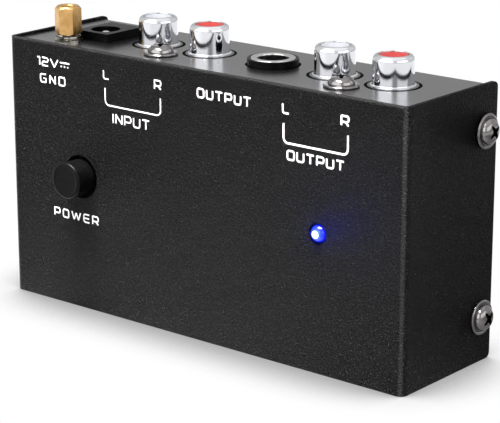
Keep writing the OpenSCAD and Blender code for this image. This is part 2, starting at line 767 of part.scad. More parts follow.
module film_capacitors() {
    color("#b3352c") in_case() for (p = film_spots) on_board(p)
        translate([0, 0, 0.4]) linear_extrude(6.5) round_rect(7.2, 2.6, 0.5);
}

// A can of radius r and height h with a crimp groove and a bare top
module electrolytic(r, h) {
    rotate_extrude($fn = 48) polygon([
        [0, 0.3], [r - 0.2, 0.3], [r, 0.5], [r, 1.3], [r - 0.25, 1.6], [r, 1.9],
        [r, h - 0.25], [r - 0.25, h], [r - 0.8, h], [r - 0.85, h - 0.15], [0, h - 0.15]
    ]);
}

module small_electrolytics() {
    color("#23324f") in_case() for (p = small_can_spots) on_board(p) electrolytic(2.5, 8);
}

module large_electrolytics() {
    color("#23324f") in_case() for (p = large_can_spots) on_board(p) electrolytic(4, 10.5);
}

// The body of an axial part lying along X, with its ends a little fuller than its waist
module axial_body(r, length) {
    translate([0, 0, r + 0.1]) rotate([0, 90, 0]) rotate_extrude($fn = 32) polygon([
        [0, -length / 2], [r * 0.6, -length / 2], [r, -length / 2 + 0.4], [r, -length / 2 + 1.2],
        [r * 0.86, -length / 2 + 1.7], [r * 0.86, length / 2 - 1.7], [r, length / 2 - 1.2],
        [r, length / 2 - 0.4], [r * 0.6, length / 2], [0, length / 2]
    ]);
}

module resistors() {
    color("#cdb58a") in_case() for (p = resistor_spots) on_board(p) axial_body(1.2, 6.2);
}

module rectifier_diode() {
    color("#202022") in_case() on_board(diode_spot) axial_body(1.35, 5.2);
}

module voltage_regulator() {
    color("#232326") in_case() on_board(regulator_spot) translate([0, 0, 2.4]) difference() {
        cylinder(r = 2.3, h = 4.6, $fn = 48);
        translate([-3, 1.3, -1]) cube([6, 3, 7]);
    }
}

// Wires of an axial part: out of both ends and down through the board
module axial_leads(r, length) {
    height = r + 0.1;
    for (s = [-1, 1]) {
        translate([s * resistor_pitch / 2, 0, board_y - tail_end])
            cylinder(r = lead_r, h = height - board_y + tail_end, $fn = wire_fn);
        translate([s * resistor_pitch / 2, 0, height]) sphere(r = lead_r, $fn = wire_fn);
        translate([s * length / 2, 0, height]) rotate([0, s * 90, 0])
            cylinder(r = lead_r, h = (resistor_pitch - length) / 2, $fn = wire_fn);
    }
}

// A straight wire from height h above the board down to its tail
module lead(spot, h) {
    on_board(spot) translate([0, 0, board_y - tail_end])
        cylinder(r = lead_r, h = h - board_y + tail_end, $fn = wire_fn);
}

module component_leads() {
    color("#d0d2d6") in_case() {
        for (p = resistor_spots) on_board(p) axial_leads(1.2, 6.2);
        on_board(diode_spot) axial_leads(1.35, 5.2);
        for (p = film_spots, s = [-1, 1]) lead(p + [s * film_pitch / 2, 0], 0.4);
        for (p = small_can_spots, s = [-1, 1]) lead(p + [s * can_pitch / 2, 0], 0.3);
        for (p = large_can_spots, s = [-1, 1]) lead(p + [s * large_can_pitch / 2, 0], 0.3);
        for (s = [-1:1]) lead(regulator_spot + [s * regulator_pitch, 0], 2.4);
        for (p = chip_spots, i = [0:3], s = [-1, 1])
            on_board(p + [(i - 1.5) * chip_pitch, s * chip_row]) chip_leg(s);
    }
}

// One leg of a chip: out of the body's side, then down through the board
module chip_leg(side) {
    translate([-0.25, -0.125, board_y - tail_end]) cube([0.5, 0.25, 2.3 - board_y + tail_end]);
    translate([-0.6, side > 0 ? -0.6 : -0.125, 2.05]) cube([1.2, 0.725, 0.25]);
}

front_cover();
chassis();
cover_screws();
rubber_feet();
circuit_board();
board_spacers();
board_screws();
jack_block(input_x);  // input_jack_block
jack_block(output_x);  // output_jack_block
panel_screws();
jack_shell(barrel_xs[0]);  // input_left_shell
jack_shell(barrel_xs[1]);  // input_right_shell
jack_shell(barrel_xs[2]);  // output_left_shell
jack_shell(barrel_xs[3]);  // output_right_shell
jack_insulator(barrel_xs[0], "#e6e6e2");  // input_left_insulator
jack_insulator(barrel_xs[1], "#c8281e");  // input_right_insulator
jack_insulator(barrel_xs[2], "#e6e6e2");  // output_left_insulator
jack_insulator(barrel_xs[3], "#c8281e");  // output_right_insulator
jack_contact(barrel_xs[0]);  // input_left_contact
jack_contact(barrel_xs[1]);  // input_right_contact
jack_contact(barrel_xs[2]);  // output_left_contact
jack_contact(barrel_xs[3]);  // output_right_contact
phone_jack_body();
phone_jack_bush();
phone_jack_leaves();
power_inlet_body();
power_inlet_pin();
power_inlet_leaf();
ground_stud();
ground_tag();
ground_plain_washer();
ground_lock_washer();
ground_nut();
power_button();
switch_plunger();
switch_housing();
switch_base();
switch_spring();
switch_terminals();
lamp_lens();
lamp_leads();
amplifier_chips();
voltage_regulator();
rectifier_diode();
film_capacitors();
small_electrolytics();
large_electrolytics();
resistors();
component_leads();
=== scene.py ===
"""Looks of a small phono preamp: its finishes, its turned and folded pieces, its printed legends
and the studio it stands in. Lengths in the classes are millimetres in the part's own frame: X along
the width, +Y from the labelled face to the rear plate, +Z up."""

import json
import logging
import math
from dataclasses import dataclass, field
from enum import Enum
from typing import Any, Iterable, Sequence

import bmesh
import bpy
from mathutils import Matrix, Vector

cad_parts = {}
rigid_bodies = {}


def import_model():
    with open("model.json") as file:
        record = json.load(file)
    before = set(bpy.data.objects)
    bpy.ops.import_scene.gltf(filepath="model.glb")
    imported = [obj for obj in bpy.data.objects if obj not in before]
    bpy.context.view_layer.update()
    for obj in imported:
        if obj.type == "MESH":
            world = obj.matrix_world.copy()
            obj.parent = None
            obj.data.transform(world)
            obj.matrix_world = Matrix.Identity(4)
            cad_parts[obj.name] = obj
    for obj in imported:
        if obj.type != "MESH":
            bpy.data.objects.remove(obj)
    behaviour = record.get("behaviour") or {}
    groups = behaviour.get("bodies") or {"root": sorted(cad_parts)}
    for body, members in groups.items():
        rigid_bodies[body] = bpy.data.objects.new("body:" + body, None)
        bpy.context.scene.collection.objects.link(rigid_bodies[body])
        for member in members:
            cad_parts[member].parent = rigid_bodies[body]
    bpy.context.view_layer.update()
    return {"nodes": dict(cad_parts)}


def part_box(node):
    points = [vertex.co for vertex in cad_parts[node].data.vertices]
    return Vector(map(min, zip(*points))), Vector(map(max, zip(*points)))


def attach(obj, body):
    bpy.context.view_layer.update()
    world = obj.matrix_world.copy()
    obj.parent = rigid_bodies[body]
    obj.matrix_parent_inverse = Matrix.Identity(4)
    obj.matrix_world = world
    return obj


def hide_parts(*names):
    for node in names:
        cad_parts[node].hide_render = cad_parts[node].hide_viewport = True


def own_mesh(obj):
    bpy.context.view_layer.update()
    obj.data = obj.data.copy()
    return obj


for leftover in list(bpy.data.objects):
    bpy.data.objects.remove(leftover)
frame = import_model()

MM = 0.001
FACE_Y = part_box("front_cover")[0].y / MM
PANEL_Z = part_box("chassis")[1].z / MM
TOP_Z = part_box("front_cover")[1].z / MM
CASE = "case"

log = logging.getLogger("phono_preamp")

Point2 = tuple[float, float]
Point3 = tuple[float, float, float]


# ---- Nodes and finishes --------------------------------------------------------------------


def linear(code: str) -> tuple[float, float, float, float]:
    """Turns an sRGB hex colour into the linear colour that shaders take.

    Args:
        code: a colour such as "#c8963e".

    Returns:
        Red, green, blue and an alpha of 1.
    """
    shares = [int(code[i:i + 2], 16) / 255 for i in (1, 3, 5)]
    red, green, blue = (s / 12.92 if s <= 0.04045 else ((s + 0.055) / 1.055) ** 2.4 for s in shares)
    return red, green, blue, 1.0


def add_node(tree: bpy.types.NodeTree, kind: str, inputs: dict[Any, Any] | None = None,
             **settings: Any) -> bpy.types.Node:
    """Adds a node with its settings and links.

    Args:
        tree: the tree that gets the node.
        kind: the node's type name.
        inputs: input name or index to a value, or to the socket that feeds it.
        **settings: attributes of the node.

    Returns:
        The new node.
    """
    node = tree.nodes.new(kind)
    for name, value in settings.items():
        setattr(node, name, value)
    for name, value in (inputs or {}).items():
        if isinstance(value, bpy.types.NodeSocket):
            tree.links.new(value, node.inputs[name])
        else:
            node.inputs[name].default_value = value
    return node


def grain(tree: bpy.types.NodeTree, size_mm: float, stretch: Point3 = (1, 1, 1),
          detail: float = 2.0, swirl: float = 0.0) -> bpy.types.NodeSocket:
    """Adds noise whose lumps have a real size.

    Args:
        tree: the material's tree.
        size_mm: the width of one lump.
        stretch: how much denser the lumps are along each axis.
        detail: octaves of finer noise.
        swirl: how far the lumps are pulled into wrinkles.

    Returns:
        The socket that gives the noise, from 0 to 1.
    """
    place = add_node(tree, "ShaderNodeTexCoord")
    mapped = add_node(tree, "ShaderNodeMapping", {"Vector": place.outputs["Object"], "Scale": stretch})
    noise = add_node(tree, "ShaderNodeTexNoise", {
        "Vector": mapped.outputs["Vector"], "Scale": 1 / (size_mm * MM), "Detail": detail,
        "Distortion": swirl})
    return noise.outputs["Fac"]


def near_line(tree: bpy.types.NodeTree, keep: Point3, at: Point3, reach_mm: float,
              core: float = 0.35) -> bpy.types.NodeSocket:
    """Adds a mask round a straight edge and its mirror images.

    Args:
        tree: the material's tree.
        keep: 1 for each axis that is measured, and 0 for the one that the edge runs along.
        at: a point of the edge in millimetres, with no negative number.
        reach_mm: how far from the edge the mask ends.
        core: the share of that reach in which the mask stays 1.

    Returns:
        The mask's socket: 1 on the edge, falling to 0.
    """
    position = add_node(tree, "ShaderNodeTexCoord").outputs["Object"]
    across = add_node(tree, "ShaderNodeVectorMath", {0: position, 1: keep}, operation="MULTIPLY")
    folded = add_node(tree, "ShaderNodeVectorMath", {0: across.outputs[0]}, operation="ABSOLUTE")
    away = add_node(tree, "ShaderNodeVectorMath", {0: folded.outputs[0], 1: tuple(v * MM for v in at)},
                    operation="DISTANCE")
    return add_node(tree, "ShaderNodeMapRange", {
        "Value": away.outputs["Value"], "From Min": reach_mm * MM * core, "From Max": reach_mm * MM,
        "To Min": 1, "To Max": 0}).outputs[0]


@dataclass(frozen=True)
class Finish:
    """What a surface is made of, and how it was finished.

    Attributes:
        name: the material's name.
        colour: its sRGB colour.
        roughness: its middle roughness, which rough_swing makes uneven.
        lump_mm: the width of the surface's lumps.
        relief: the bump's strength, of a height of relief_mm.
        shade: a second colour that the surface turns to in places, if any; on powder coat it is a
            painted highlight on the lumps' tips.
        coat: how much clear lacquer or gloss lies over it, as rough as coat_roughness.
        stretch: how much denser the pattern is along each axis.
    """

    name: str
    colour: str
    roughness: float = 0.5
    metallic: float = 0.0
    specular: float = 0.5
    ior: float = 1.5
    lump_mm: float = 0.3
    relief: float = 0.1
    relief_mm: float = 0.01
    shade: str = ""
    coat: float = 0.0
    coat_roughness: float = 0.1
    rough_swing: float = 0.08
    stretch: Point3 = (1, 1, 1)

    def material(self) -> bpy.types.Material:
        """Returns this finish's material, made the first time that it is asked for."""
        found = bpy.data.materials.get(self.name)
        if found:
            return found
        made = bpy.data.materials.new(self.name)
        made.use_nodes = True
        shader = made.node_tree.nodes["Principled BSDF"]
        for socket, value in (("Base Color", linear(self.colour)), ("Roughness", self.roughness),
                              ("Metallic", self.metallic), ("Specular IOR Level", self.specular),
                              ("Coat Weight", self.coat), ("Coat Roughness", self.coat_roughness)):
            shader.inputs[socket].default_value = value
        if not self.metallic:
            shader.inputs["IOR"].default_value = self.ior
        made.diffuse_color = linear(self.colour)
        self.pattern(made.node_tree, shader)
        return made

    def pattern(self, tree: bpy.types.NodeTree, shader: bpy.types.Node) -> None:
        """Adds the surface's lumps, its uneven gloss and its uneven colour.

        Args:
            tree: the material's tree.
            shader: its Principled shader.
        """
        lumps = grain(tree, self.lump_mm, self.stretch)
        self.raise_surface(tree, shader, lumps)
        self.vary_gloss(tree, shader, lumps, self.rough_swing)
        if self.shade:
            self.vary_colour(tree, shader, grain(tree, self.lump_mm * 6, self.stretch, 3.0))

    def vary_gloss(self, tree: bpy.types.NodeTree, shader: bpy.types.Node, share: bpy.types.NodeSocket,
                   swing: float, start: float = 0.3, end: float = 0.7) -> None:
        """Makes the surface unevenly rough.

        Args:
            tree: the material's tree.
            shader: its surface shader.
            share: the pattern that it follows.
            swing: how much rougher than the middle it ends, or glossier if negative.
            start: the pattern's value at one end of the swing.
            end: its value at the other end.
        """
        rough = add_node(tree, "ShaderNodeMapRange", {
            "Value": share, "From Min": start, "From Max": end,
            "To Min": self.roughness - swing, "To Max": self.roughness + swing})
        tree.links.new(rough.outputs[0], shader.inputs["Roughness"])

    def vary_colour(self, tree: bpy.types.NodeTree, shader: bpy.types.Node, share: bpy.types.NodeSocket,
                    start: float = 0.3, end: float = 0.7) -> bpy.types.NodeSocket:
        """Blends the surface from its colour to its shade.

        Args:
            tree: the material's tree.
            shader: its surface shader.
            share: the pattern that the blend follows.
            start: the pattern's value where the colour is pure.
            end: its value where the shade is pure.

        Returns:
            The socket that gives the blend.
        """
        mask = add_node(tree, "ShaderNodeMapRange", {
            "Value": share, "From Min": start, "From Max": end, "To Min": 0, "To Max": 1})
        blend = add_node(tree, "ShaderNodeMix", {
            0: mask.outputs[0], 6: linear(self.colour), 7: linear(self.shade or self.colour)},
            data_type="RGBA")
        tree.links.new(blend.outputs[2], shader.inputs["Base Color"])
        return blend.outputs[2]

    def raise_surface(self, tree: bpy.types.NodeTree, shader: bpy.types.Node,
                      height: bpy.types.NodeSocket) -> None:
        """Adds a bump, relief_mm tall at full strength.

        Args:
            tree: the material's tree.
            shader: its surface shader.
            height: the pattern that gives the height.
        """
        bump = add_node(tree, "ShaderNodeBump", {
            "Height": height, "Strength": self.relief, "Distance": self.relief_mm * MM})
        tree.links.new(bump.outputs["Normal"], shader.inputs["Normal"])


@dataclass(frozen=True)
class PowderCoat(Finish):
    """Baked powder paint: melted grains leave soft lumps, whose tips catch small glints and are painted
    lighter, a painted highlight.

    Attributes:
        fine_mm: the width of the finer lumps.
        swirl: how far the lumps are pulled into wrinkles.
        painted_highlight: the lighter grey of a painted highlight line along the upright bends and the cut
            upper edge, if any.
        bend: a point of the upright bends, and bend_mm how far from it the painted highlight reaches.
        edge: a point of the cut upper edge, and edge_mm how far from it the painted highlight reaches.
    """

    fine_mm: float = 0.22
    swirl: float = 0.8
    painted_highlight: str = ""
    bend: Point3 = (0.0, 0.0, 0.0)
    bend_mm: float = 0.6
    edge: Point3 = (0.0, 0.0, 0.0)
    edge_mm: float = 0.5

    def pattern(self, tree: bpy.types.NodeTree, shader: bpy.types.Node) -> None:
        """Adds lumps of two sizes, glossier tips, a lighter colour painted on the tips as a highlight, and, if
        set, a painted highlight line along the bends and the cut upper edge.

        Args:
            tree: the material's tree.
            shader: its Principled shader.
        """
        coarse = grain(tree, self.lump_mm, self.stretch, 1.0, self.swirl)
        fine = grain(tree, self.fine_mm, self.stretch, 1.0, self.swirl)
        both = add_node(tree, "ShaderNodeMath", {0: coarse, 1: fine}, operation="ADD").outputs[0]
        half = add_node(tree, "ShaderNodeMath", {0: both, 1: 0.5}, operation="MULTIPLY").outputs[0]
        self.raise_surface(tree, shader, half)
        self.vary_gloss(tree, shader, half, -self.rough_swing, 0.4, 0.65)
        # Painted highlight: the lumps' tips turn to the lighter shade colour.
        paint = self.vary_colour(tree, shader, half, 0.5, 0.62)
        # Painted highlight: a lighter grey line along the upright bends and the cut upper edge.
        if self.painted_highlight:
            for mask in (near_line(tree, (1, 1, 0), self.bend, self.bend_mm),
                         near_line(tree, (0, 1, 1), self.edge, self.edge_mm)):
                paint = add_node(tree, "ShaderNodeMix", {0: mask, 6: paint, 7: linear(self.painted_highlight)},
                                 data_type="RGBA").outputs[2]
            tree.links.new(paint, shader.inputs["Base Color"])


@dataclass(frozen=True)
class WireDrawn(Finish):
    """Bar or strip that a die or a tool has left with fine lines along one axis."""

    line_mm: float = 0.12

    def pattern(self, tree: bpy.types.NodeTree, shader: bpy.types.Node) -> None:
        """Adds the lines to the relief and the gloss, and tarnish to the colour.

        Args:
            tree: the material's tree.
            shader: its Principled shader.
        """
        lines = grain(tree, self.line_mm, self.stretch, 3.0)
        self.raise_surface(tree, shader, lines)
        self.vary_gloss(tree, shader, lines, self.rough_swing)
        self.vary_colour(tree, shader, grain(tree, self.lump_mm, (1, 1, 1), 3.0))


@dataclass(frozen=True)
class BoardMask(Finish):
    """Green solder mask on glass cloth: the cloth's weave shows faintly, and copper shows darker."""

    weave_mm: float = 0.5
    track_mm: float = 1.6

    def pattern(self, tree: bpy.types.NodeTree, shader: bpy.types.Node) -> None:
        """Adds the weave's relief and the paler runs of copper under the mask.

        Args:
            tree: the material's tree.
            shader: its Principled shader.
        """
        place = add_node(tree, "ShaderNodeTexCoord")
        weave = add_node(tree, "ShaderNodeTexBrick", {
            "Vector": place.outputs["Object"], "Scale": 1 / (self.weave_mm * MM), "Mortar Size": 0.05})
        self.raise_surface(tree, shader, weave.outputs["Fac"])
        copper = add_node(tree, "ShaderNodeTexVoronoi", {
            "Vector": place.outputs["Object"], "Scale": 1 / (self.track_mm * MM * 3)},
            feature="DISTANCE_TO_EDGE")
        self.vary_colour(tree, shader, copper.outputs["Distance"], 0.09, 0.06)


@dataclass(frozen=True)
class LampEpoxy(Finish):
    """Cast blue epoxy lit from inside: white over the chip, then blue, and nearly black at the rim."""

    centre: Point3 = (0, 0, 0)
    hot_mm: float = 0.72
    edge_mm: float = 1.85
    glow: float = 1.0
    hot_glow: float = 2.2

    def pattern(self, tree: bpy.types.NodeTree, shader: bpy.types.Node) -> None:
        """Adds the glow, which depends on the distance from the lamp's own axis.

        Args:
            tree: the material's tree.
            shader: its Principled shader.
        """
        place = add_node(tree, "ShaderNodeTexCoord")
        moved = add_node(tree, "ShaderNodeMapping", {
            "Vector": place.outputs["Object"], "Location": [-c * MM for c in self.centre],
            "Scale": (1, 0, 1)})
        away = add_node(tree, "ShaderNodeVectorMath", {0: moved.outputs["Vector"]}, operation="LENGTH")
        share = add_node(tree, "ShaderNodeMath", {0: away.outputs["Value"], 1: self.edge_mm * MM},
                         operation="DIVIDE").outputs[0]
        ramp = add_node(tree, "ShaderNodeValToRGB", {"Fac": share})
        hot = self.hot_mm / self.edge_mm
        stops = ((0.0, "#ffffff"), (hot, "#ffffff"), (hot + 0.08, "#2a4cff"), (0.72, "#0a2cff"),
                 (0.9, "#0414b0"), (1.0, "#02084a"))
        elements = ramp.color_ramp.elements
        elements[0].position, elements[0].color = stops[0][0], linear(stops[0][1])
        elements[1].position, elements[1].color = stops[-1][0], linear(stops[-1][1])
        for position, code in stops[1:-1]:
            elements.new(position).color = linear(code)
        tree.links.new(ramp.outputs["Color"], shader.inputs["Emission Color"])
        strength = add_node(tree, "ShaderNodeMapRange", {
            "Value": share, "From Min": hot, "From Max": hot + 0.1,
            "To Min": self.glow * self.hot_glow, "To Max": self.glow})
        tree.links.new(strength.outputs[0], shader.inputs["Emission Strength"])


class Look:
    """The finishes of this preamp, each named for the real material, save the painted shade of the screw
    recesses.
    """

    # Powder paint on folded steel: nearly black, with lumps of about half a millimetre that catch
    # small glints. Their tips are painted a lighter grey, a painted highlight, and a painted highlight
    # line of lighter grey runs along the upright bends and the cut upper edge. The lumps are drawn
    # deeper than real ones, so that they show at arm's length.
    COVER = PowderCoat("black_powder_coat", "#020202", roughness=0.31, specular=0.045, lump_mm=0.46,
                       fine_mm=0.21, relief=1.0, relief_mm=2.5, shade="#131314", rough_swing=0.1,
                       painted_highlight="#2b2b2b", bend=(51.75, -FACE_Y - 0.3, 0), edge=(0, -FACE_Y, TOP_Z))
    # The same paint on the chassis, thinner and smoother under a trace of gloss, so that it mirrors
    # what stands on it. The tips of its lumps are painted a little lighter, a painted highlight.
    CHASSIS = PowderCoat("smooth_black_coat", "#0c0c0d", roughness=0.22, specular=0.7, lump_mm=0.4,
                         fine_mm=0.22, relief=0.25, relief_mm=0.03, shade="#161618", rough_swing=0.04,
                         coat=0.35, coat_roughness=0.25)
    # Bright chrome over nickel: a mirror with a trace of haze.
    CHROME = Finish("bright_chrome_plate", "#dcdde0", roughness=0.08, metallic=1, lump_mm=2.5,
                    relief=0.02, relief_mm=0.02, shade="#d2d3d8", rough_swing=0.02)
    # Nickel on cold-headed screws: mirror-like with tumbling haze and a warm cast.
    NICKEL = Finish("nickel_plated_steel", "#8a8787", roughness=0.12, metallic=1, lump_mm=0.35,
                    relief=0.12, relief_mm=0.03, shade="#706e6e", rough_swing=0.06)
    # Painted shade on the floor and walls of a punched cross recess: dark and dull, standing in for the shadow
    # deep in it.
    RECESS_SHADE = Finish("painted_recess_shade", "#161514", roughness=0.6, metallic=1, lump_mm=0.2, relief=0.3,
                    relief_mm=0.02, shade="#201e1d", rough_swing=0.1)
    # Nickel on the turned bush of the phone jack: whiter and smoother than on the screws.
    BUSH = Finish("bright_nickel_bush", "#cfcecd", roughness=0.14, metallic=1, lump_mm=0.8, relief=0.05,
                  relief_mm=0.02, shade="#bcbbba", rough_swing=0.04)
    # Rolled and zinc-plated steel of washers: bright, slightly blue, uneven.
    ZINC = Finish("zinc_plated_steel", "#a5a199", roughness=0.22, metallic=1, lump_mm=0.4, relief=0.1,
                  relief_mm=0.02, shade="#9c988e", rough_swing=0.08)
    # Free-cutting brass, turned from hexagon bar: drawn lines along the flats, warm and half dull.
    BRASS = WireDrawn("turned_brass", "#d2aa72", roughness=0.32, metallic=1, lump_mm=1.5, relief=0.15,
                      relief_mm=0.02, shade="#b48b54", rough_swing=0.08, stretch=(1, 1, 0.06),
                      line_mm=0.2)
    # Spring bronze strip, bare.
    BRONZE = WireDrawn("spring_bronze", "#b99b66", roughness=0.3, metallic=1, lump_mm=1.2, relief=0.08,
                       relief_mm=0.01, shade="#a2834f", stretch=(1, 0.1, 1), line_mm=0.12)
    # Tinned brass and copper: soft grey shine.
    TINNED = WireDrawn("tinned_copper", "#c9cbce", roughness=0.28, metallic=1, lump_mm=0.8, relief=0.06,
                       relief_mm=0.01, shade="#b4b6ba", stretch=(1, 0.1, 1), line_mm=0.15)
    # Music wire: dark, drawn smooth.
    MUSIC_WIRE = WireDrawn("music_wire", "#8f9196", roughness=0.25, metallic=1, lump_mm=1, relief=0.05,
                           relief_mm=0.01, shade="#7b7d82", line_mm=0.1)
    # Glass-filled nylon from a spark-eroded mould: black, dull, faintly grained.
    NYLON = Finish("black_nylon", "#131314", roughness=0.42, specular=0.45, lump_mm=0.28, relief=0.22,
                   relief_mm=0.02, shade="#1a1a1b", rough_swing=0.06)
    # Polished-mould nylon of the power inlet: black and glossy.
    GLOSS_NYLON = Finish("gloss_black_nylon", "#030304", roughness=0.28, specular=0.07, lump_mm=0.35,
                         relief=0.5, relief_mm=0.05, shade="#070708", rough_swing=0.08)
    # Polished-mould nylon of the socket blocks: their collars mirror the barrels.
    SOCKET_NYLON = Finish("socket_black_nylon", "#0c0c0e", roughness=0.08, specular=0.6, lump_mm=0.8,
                          relief=0.06, relief_mm=0.02, shade="#111113", rough_swing=0.03)
    # Moulded ABS inserts of the phono sockets, left white or red.
    WHITE_ABS = Finish("white_abs", "#c2c4ca", roughness=0.25, lump_mm=0.8, relief=0.05, relief_mm=0.02,
                       shade="#b8babf", rough_swing=0.05)
    RED_ABS = Finish("red_abs", "#c63a36", roughness=0.22, lump_mm=0.8, relief=0.05, relief_mm=0.02,
                     shade="#b0302c", rough_swing=0.05)
    # Black ABS cap of the button: satin, with a finely grained skin.
    BUTTON_ABS = Finish("black_abs_cap", "#040404", roughness=0.3, specular=0.07, lump_mm=0.25,
                        relief=0.1, relief_mm=0.02, shade="#070708", rough_swing=0.04)
    # Natural acetal of the plunger: milky, waxy.
    ACETAL = Finish("natural_acetal", "#e2e0d6", roughness=0.35, lump_mm=0.6, relief=0.05, shade="#d8d5c9")
    # Phenolic paper board of the switch.
    PHENOLIC = Finish("phenolic_board", "#4a3423", roughness=0.55, lump_mm=0.4, relief=0.15,
                      shade="#3b291b")
    # Nitrile rubber of the feet: dull and slightly dusty.
    RUBBER = Finish("nitrile_rubber", "#1b1b1b", roughness=0.8, specular=0.3, lump_mm=0.5, relief=0.3,
                    relief_mm=0.03, shade="#262625", rough_swing=0.08)
    # Green solder mask over glass cloth and copper: glossy, with paler runs.
    MASK = BoardMask("green_solder_mask", "#14532f", roughness=0.3, relief=0.1, shade="#1f7343")
    # Moulded epoxy of chips: black with a fine matt grain.
    EPOXY = Finish("moulded_epoxy", "#18181a", roughness=0.6, lump_mm=0.15, relief=0.2, shade="#222224")
    # Dipped lacquer of film capacitors: dark red, glossy, with rounded lumps.
    DIPPED = Finish("dipped_red_lacquer", "#9a2218", roughness=0.18, lump_mm=1.5, relief=0.25,
                    relief_mm=0.05, shade="#86190f", coat=0.4)
    # Shrunk plastic sleeve of the electrolytic capacitors: blue, tight and shiny.
    SLEEVE = Finish("blue_shrink_sleeve", "#16264d", roughness=0.24, lump_mm=1.8, relief=0.12,
                    relief_mm=0.04, shade="#1c3060", coat=0.3)
    # Baked lacquer of the resistors: tan, with a soft shine.
    LACQUER = Finish("tan_lacquer", "#c3a06c", roughness=0.3, lump_mm=1.0, relief=0.2, relief_mm=0.03,
                     shade="#b08d5a", coat=0.3)
    # Screen-printed ink: white, matt, with slightly thin patches.
    INK = Finish("white_screen_ink", "#e2e2e0", roughness=0.5, specular=0.3, lump_mm=0.3, relief=0.1,
                 shade="#d6d6d4")


# ---- Meshes --------------------------------------------------------------------------------


def turned(profile: Sequence[Point2], steps: int = 96) -> bmesh.types.BMesh:
    """Spins a closed profile round Z.

    Args:
        profile: (radius, height) points in millimetres, in order round the section. Points on the
            axis are written with a radius of 0.
        steps: facets round the axis.

    Returns:
        The turned solid, with its faces pointing outwards.
    """
    bm = bmesh.new()
    verts = [bm.verts.new((r * MM, 0, z * MM)) for r, z in profile]
    edges = [bm.edges.new((a, b)) for a, b in zip(verts, verts[1:] + verts[:1])
             if a.co.x > 0 or b.co.x > 0]
    bmesh.ops.spin(bm, geom=verts + edges, cent=(0, 0, 0), axis=(0, 0, 1), angle=2 * math.pi,
                   steps=steps, use_merge=True)
    bmesh.ops.remove_doubles(bm, verts=bm.verts, dist=1e-7)
    bmesh.ops.recalc_face_normals(bm, faces=bm.faces)
    return bm


def rounded_profile(corners: Sequence[tuple[float, float, float]], steps: int = 6) -> list[Point2]:
    """Rounds the corners of a closed or open polygon.

    Args:
        corners: (x, y, radius) of each corner, in order.
        steps: pieces in each rounding.

    Returns:
        The points of the rounded outline.
    """
    points: list[Point2] = []
    count = len(corners)
    for i, (x, y, radius) in enumerate(corners):
        here = Vector((x, y))
        back = Vector(corners[i - 1][:2]) - here
        ahead = Vector(corners[(i + 1) % count][:2]) - here
        if radius <= 0 or back.length == 0 or ahead.length == 0:
            points.append((x, y))
            continue
        half = back.angle(ahead) / 2
        reach = radius / math.tan(half)
        centre = here + (back.normalized() + ahead.normalized()).normalized() * radius / math.sin(half)
        start, end = here + back.normalized() * reach, here + ahead.normalized() * reach
        first = math.atan2(*(start - centre).yx)
        swing = (math.atan2(*(end - centre).yx) - first + math.pi) % (2 * math.pi) - math.pi
        points += [(centre.x + radius * math.cos(first + swing * k / steps),
                    centre.y + radius * math.sin(first + swing * k / steps)) for k in range(steps + 1)]
    return points


def soften(bm: bmesh.types.BMesh, width: float, angle: float = 30, segments: int = 2) -> None:
    """Bevels every edge that is sharper than angle.

    Args:
        bm: the mesh to change.
        width: the bevel's width in millimetres.
        angle: the smallest turn, in degrees, that counts as an edge.
        segments: facets across each bevel.
    """
    sharp = [e for e in bm.edges if e.is_manifold and e.calc_face_angle() > math.radians(angle)]
    bmesh.ops.bevel(bm, geom=sharp, offset=width * MM, offset_type="OFFSET", segments=segments,
                    profile=0.5, affect="EDGES", material=-1, clamp_overlap=True)


def merged_copy(node: str) -> bmesh.types.BMesh:
    """Copies a CAD node's mesh and joins its loose triangles into flat faces.

    Args:
        node: the node's name.

    Returns:
        The copy.
    """
    bm = bmesh.new()
    bm.from_mesh(frame["nodes"][node].data)
    bmesh.ops.remove_doubles(bm, verts=bm.verts, dist=2e-7)
    bmesh.ops.dissolve_limit(bm, angle_limit=math.radians(0.2), verts=bm.verts, edges=bm.edges)
    return bm


def place(bm: bmesh.types.BMesh, at: Point3 = (0, 0, 0), turn: Matrix | None = None) -> bmesh.types.BMesh:
    """Turns a mesh about the origin and then moves it.

    Args:
        bm: the mesh.
        at: where its origin goes, in millimetres.
        turn: how it is turned before that, if at all.

    Returns:
        The same mesh.
    """
    if turn is not None:
        bmesh.ops.transform(bm, matrix=turn.to_4x4(), verts=bm.verts)
    bmesh.ops.translate(bm, vec=Vector(at) * MM, verts=bm.verts)
    return bm


FACING_OUT = Matrix.Rotation(math.pi / 2, 3, "X")


def piece(name: str, bm: bmesh.types.BMesh, look: Finish, body: str = CASE,
          replaces: Iterable[str] = (), smooth_angle: float = 32) -> bpy.types.Object:
    """Makes an object of the part from a finished mesh.

    Args:
        name: the piece's name.
        bm: its mesh, in the part's frame; it is freed.
        look: its finish.
        body: the CAD body it rides on.
        replaces: CAD nodes it stands for.
        smooth_angle: faces that meet at less than this, in degrees, are shaded as one surface.

    Returns:
        The new object.
    """
    mesh = bpy.data.meshes.new(name)
    bm.to_mesh(mesh)
    bm.free()
    mesh.materials.append(look.material())
    mesh.shade_smooth()
    mesh.set_sharp_from_angle(angle=math.radians(smooth_angle))
    made = bpy.data.objects.new(name, mesh)
    bpy.context.scene.collection.objects.link(made)
    flats = made.modifiers.new("flat_faces", "WEIGHTED_NORMAL")
    flats.weight, flats.keep_sharp = 90, True
    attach(made, body)
    if replaces:
        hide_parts(*replaces)
    return made


def dress(look: Finish, *nodes: str) -> None:
    """Gives CAD nodes a finish, and leaves their meshes alone.

    Args:
        look: the finish.
        *nodes: the nodes' names.
    """
    for node in nodes:
        for holder in frame["nodes"][node].material_slots:
            holder.material = look.material()


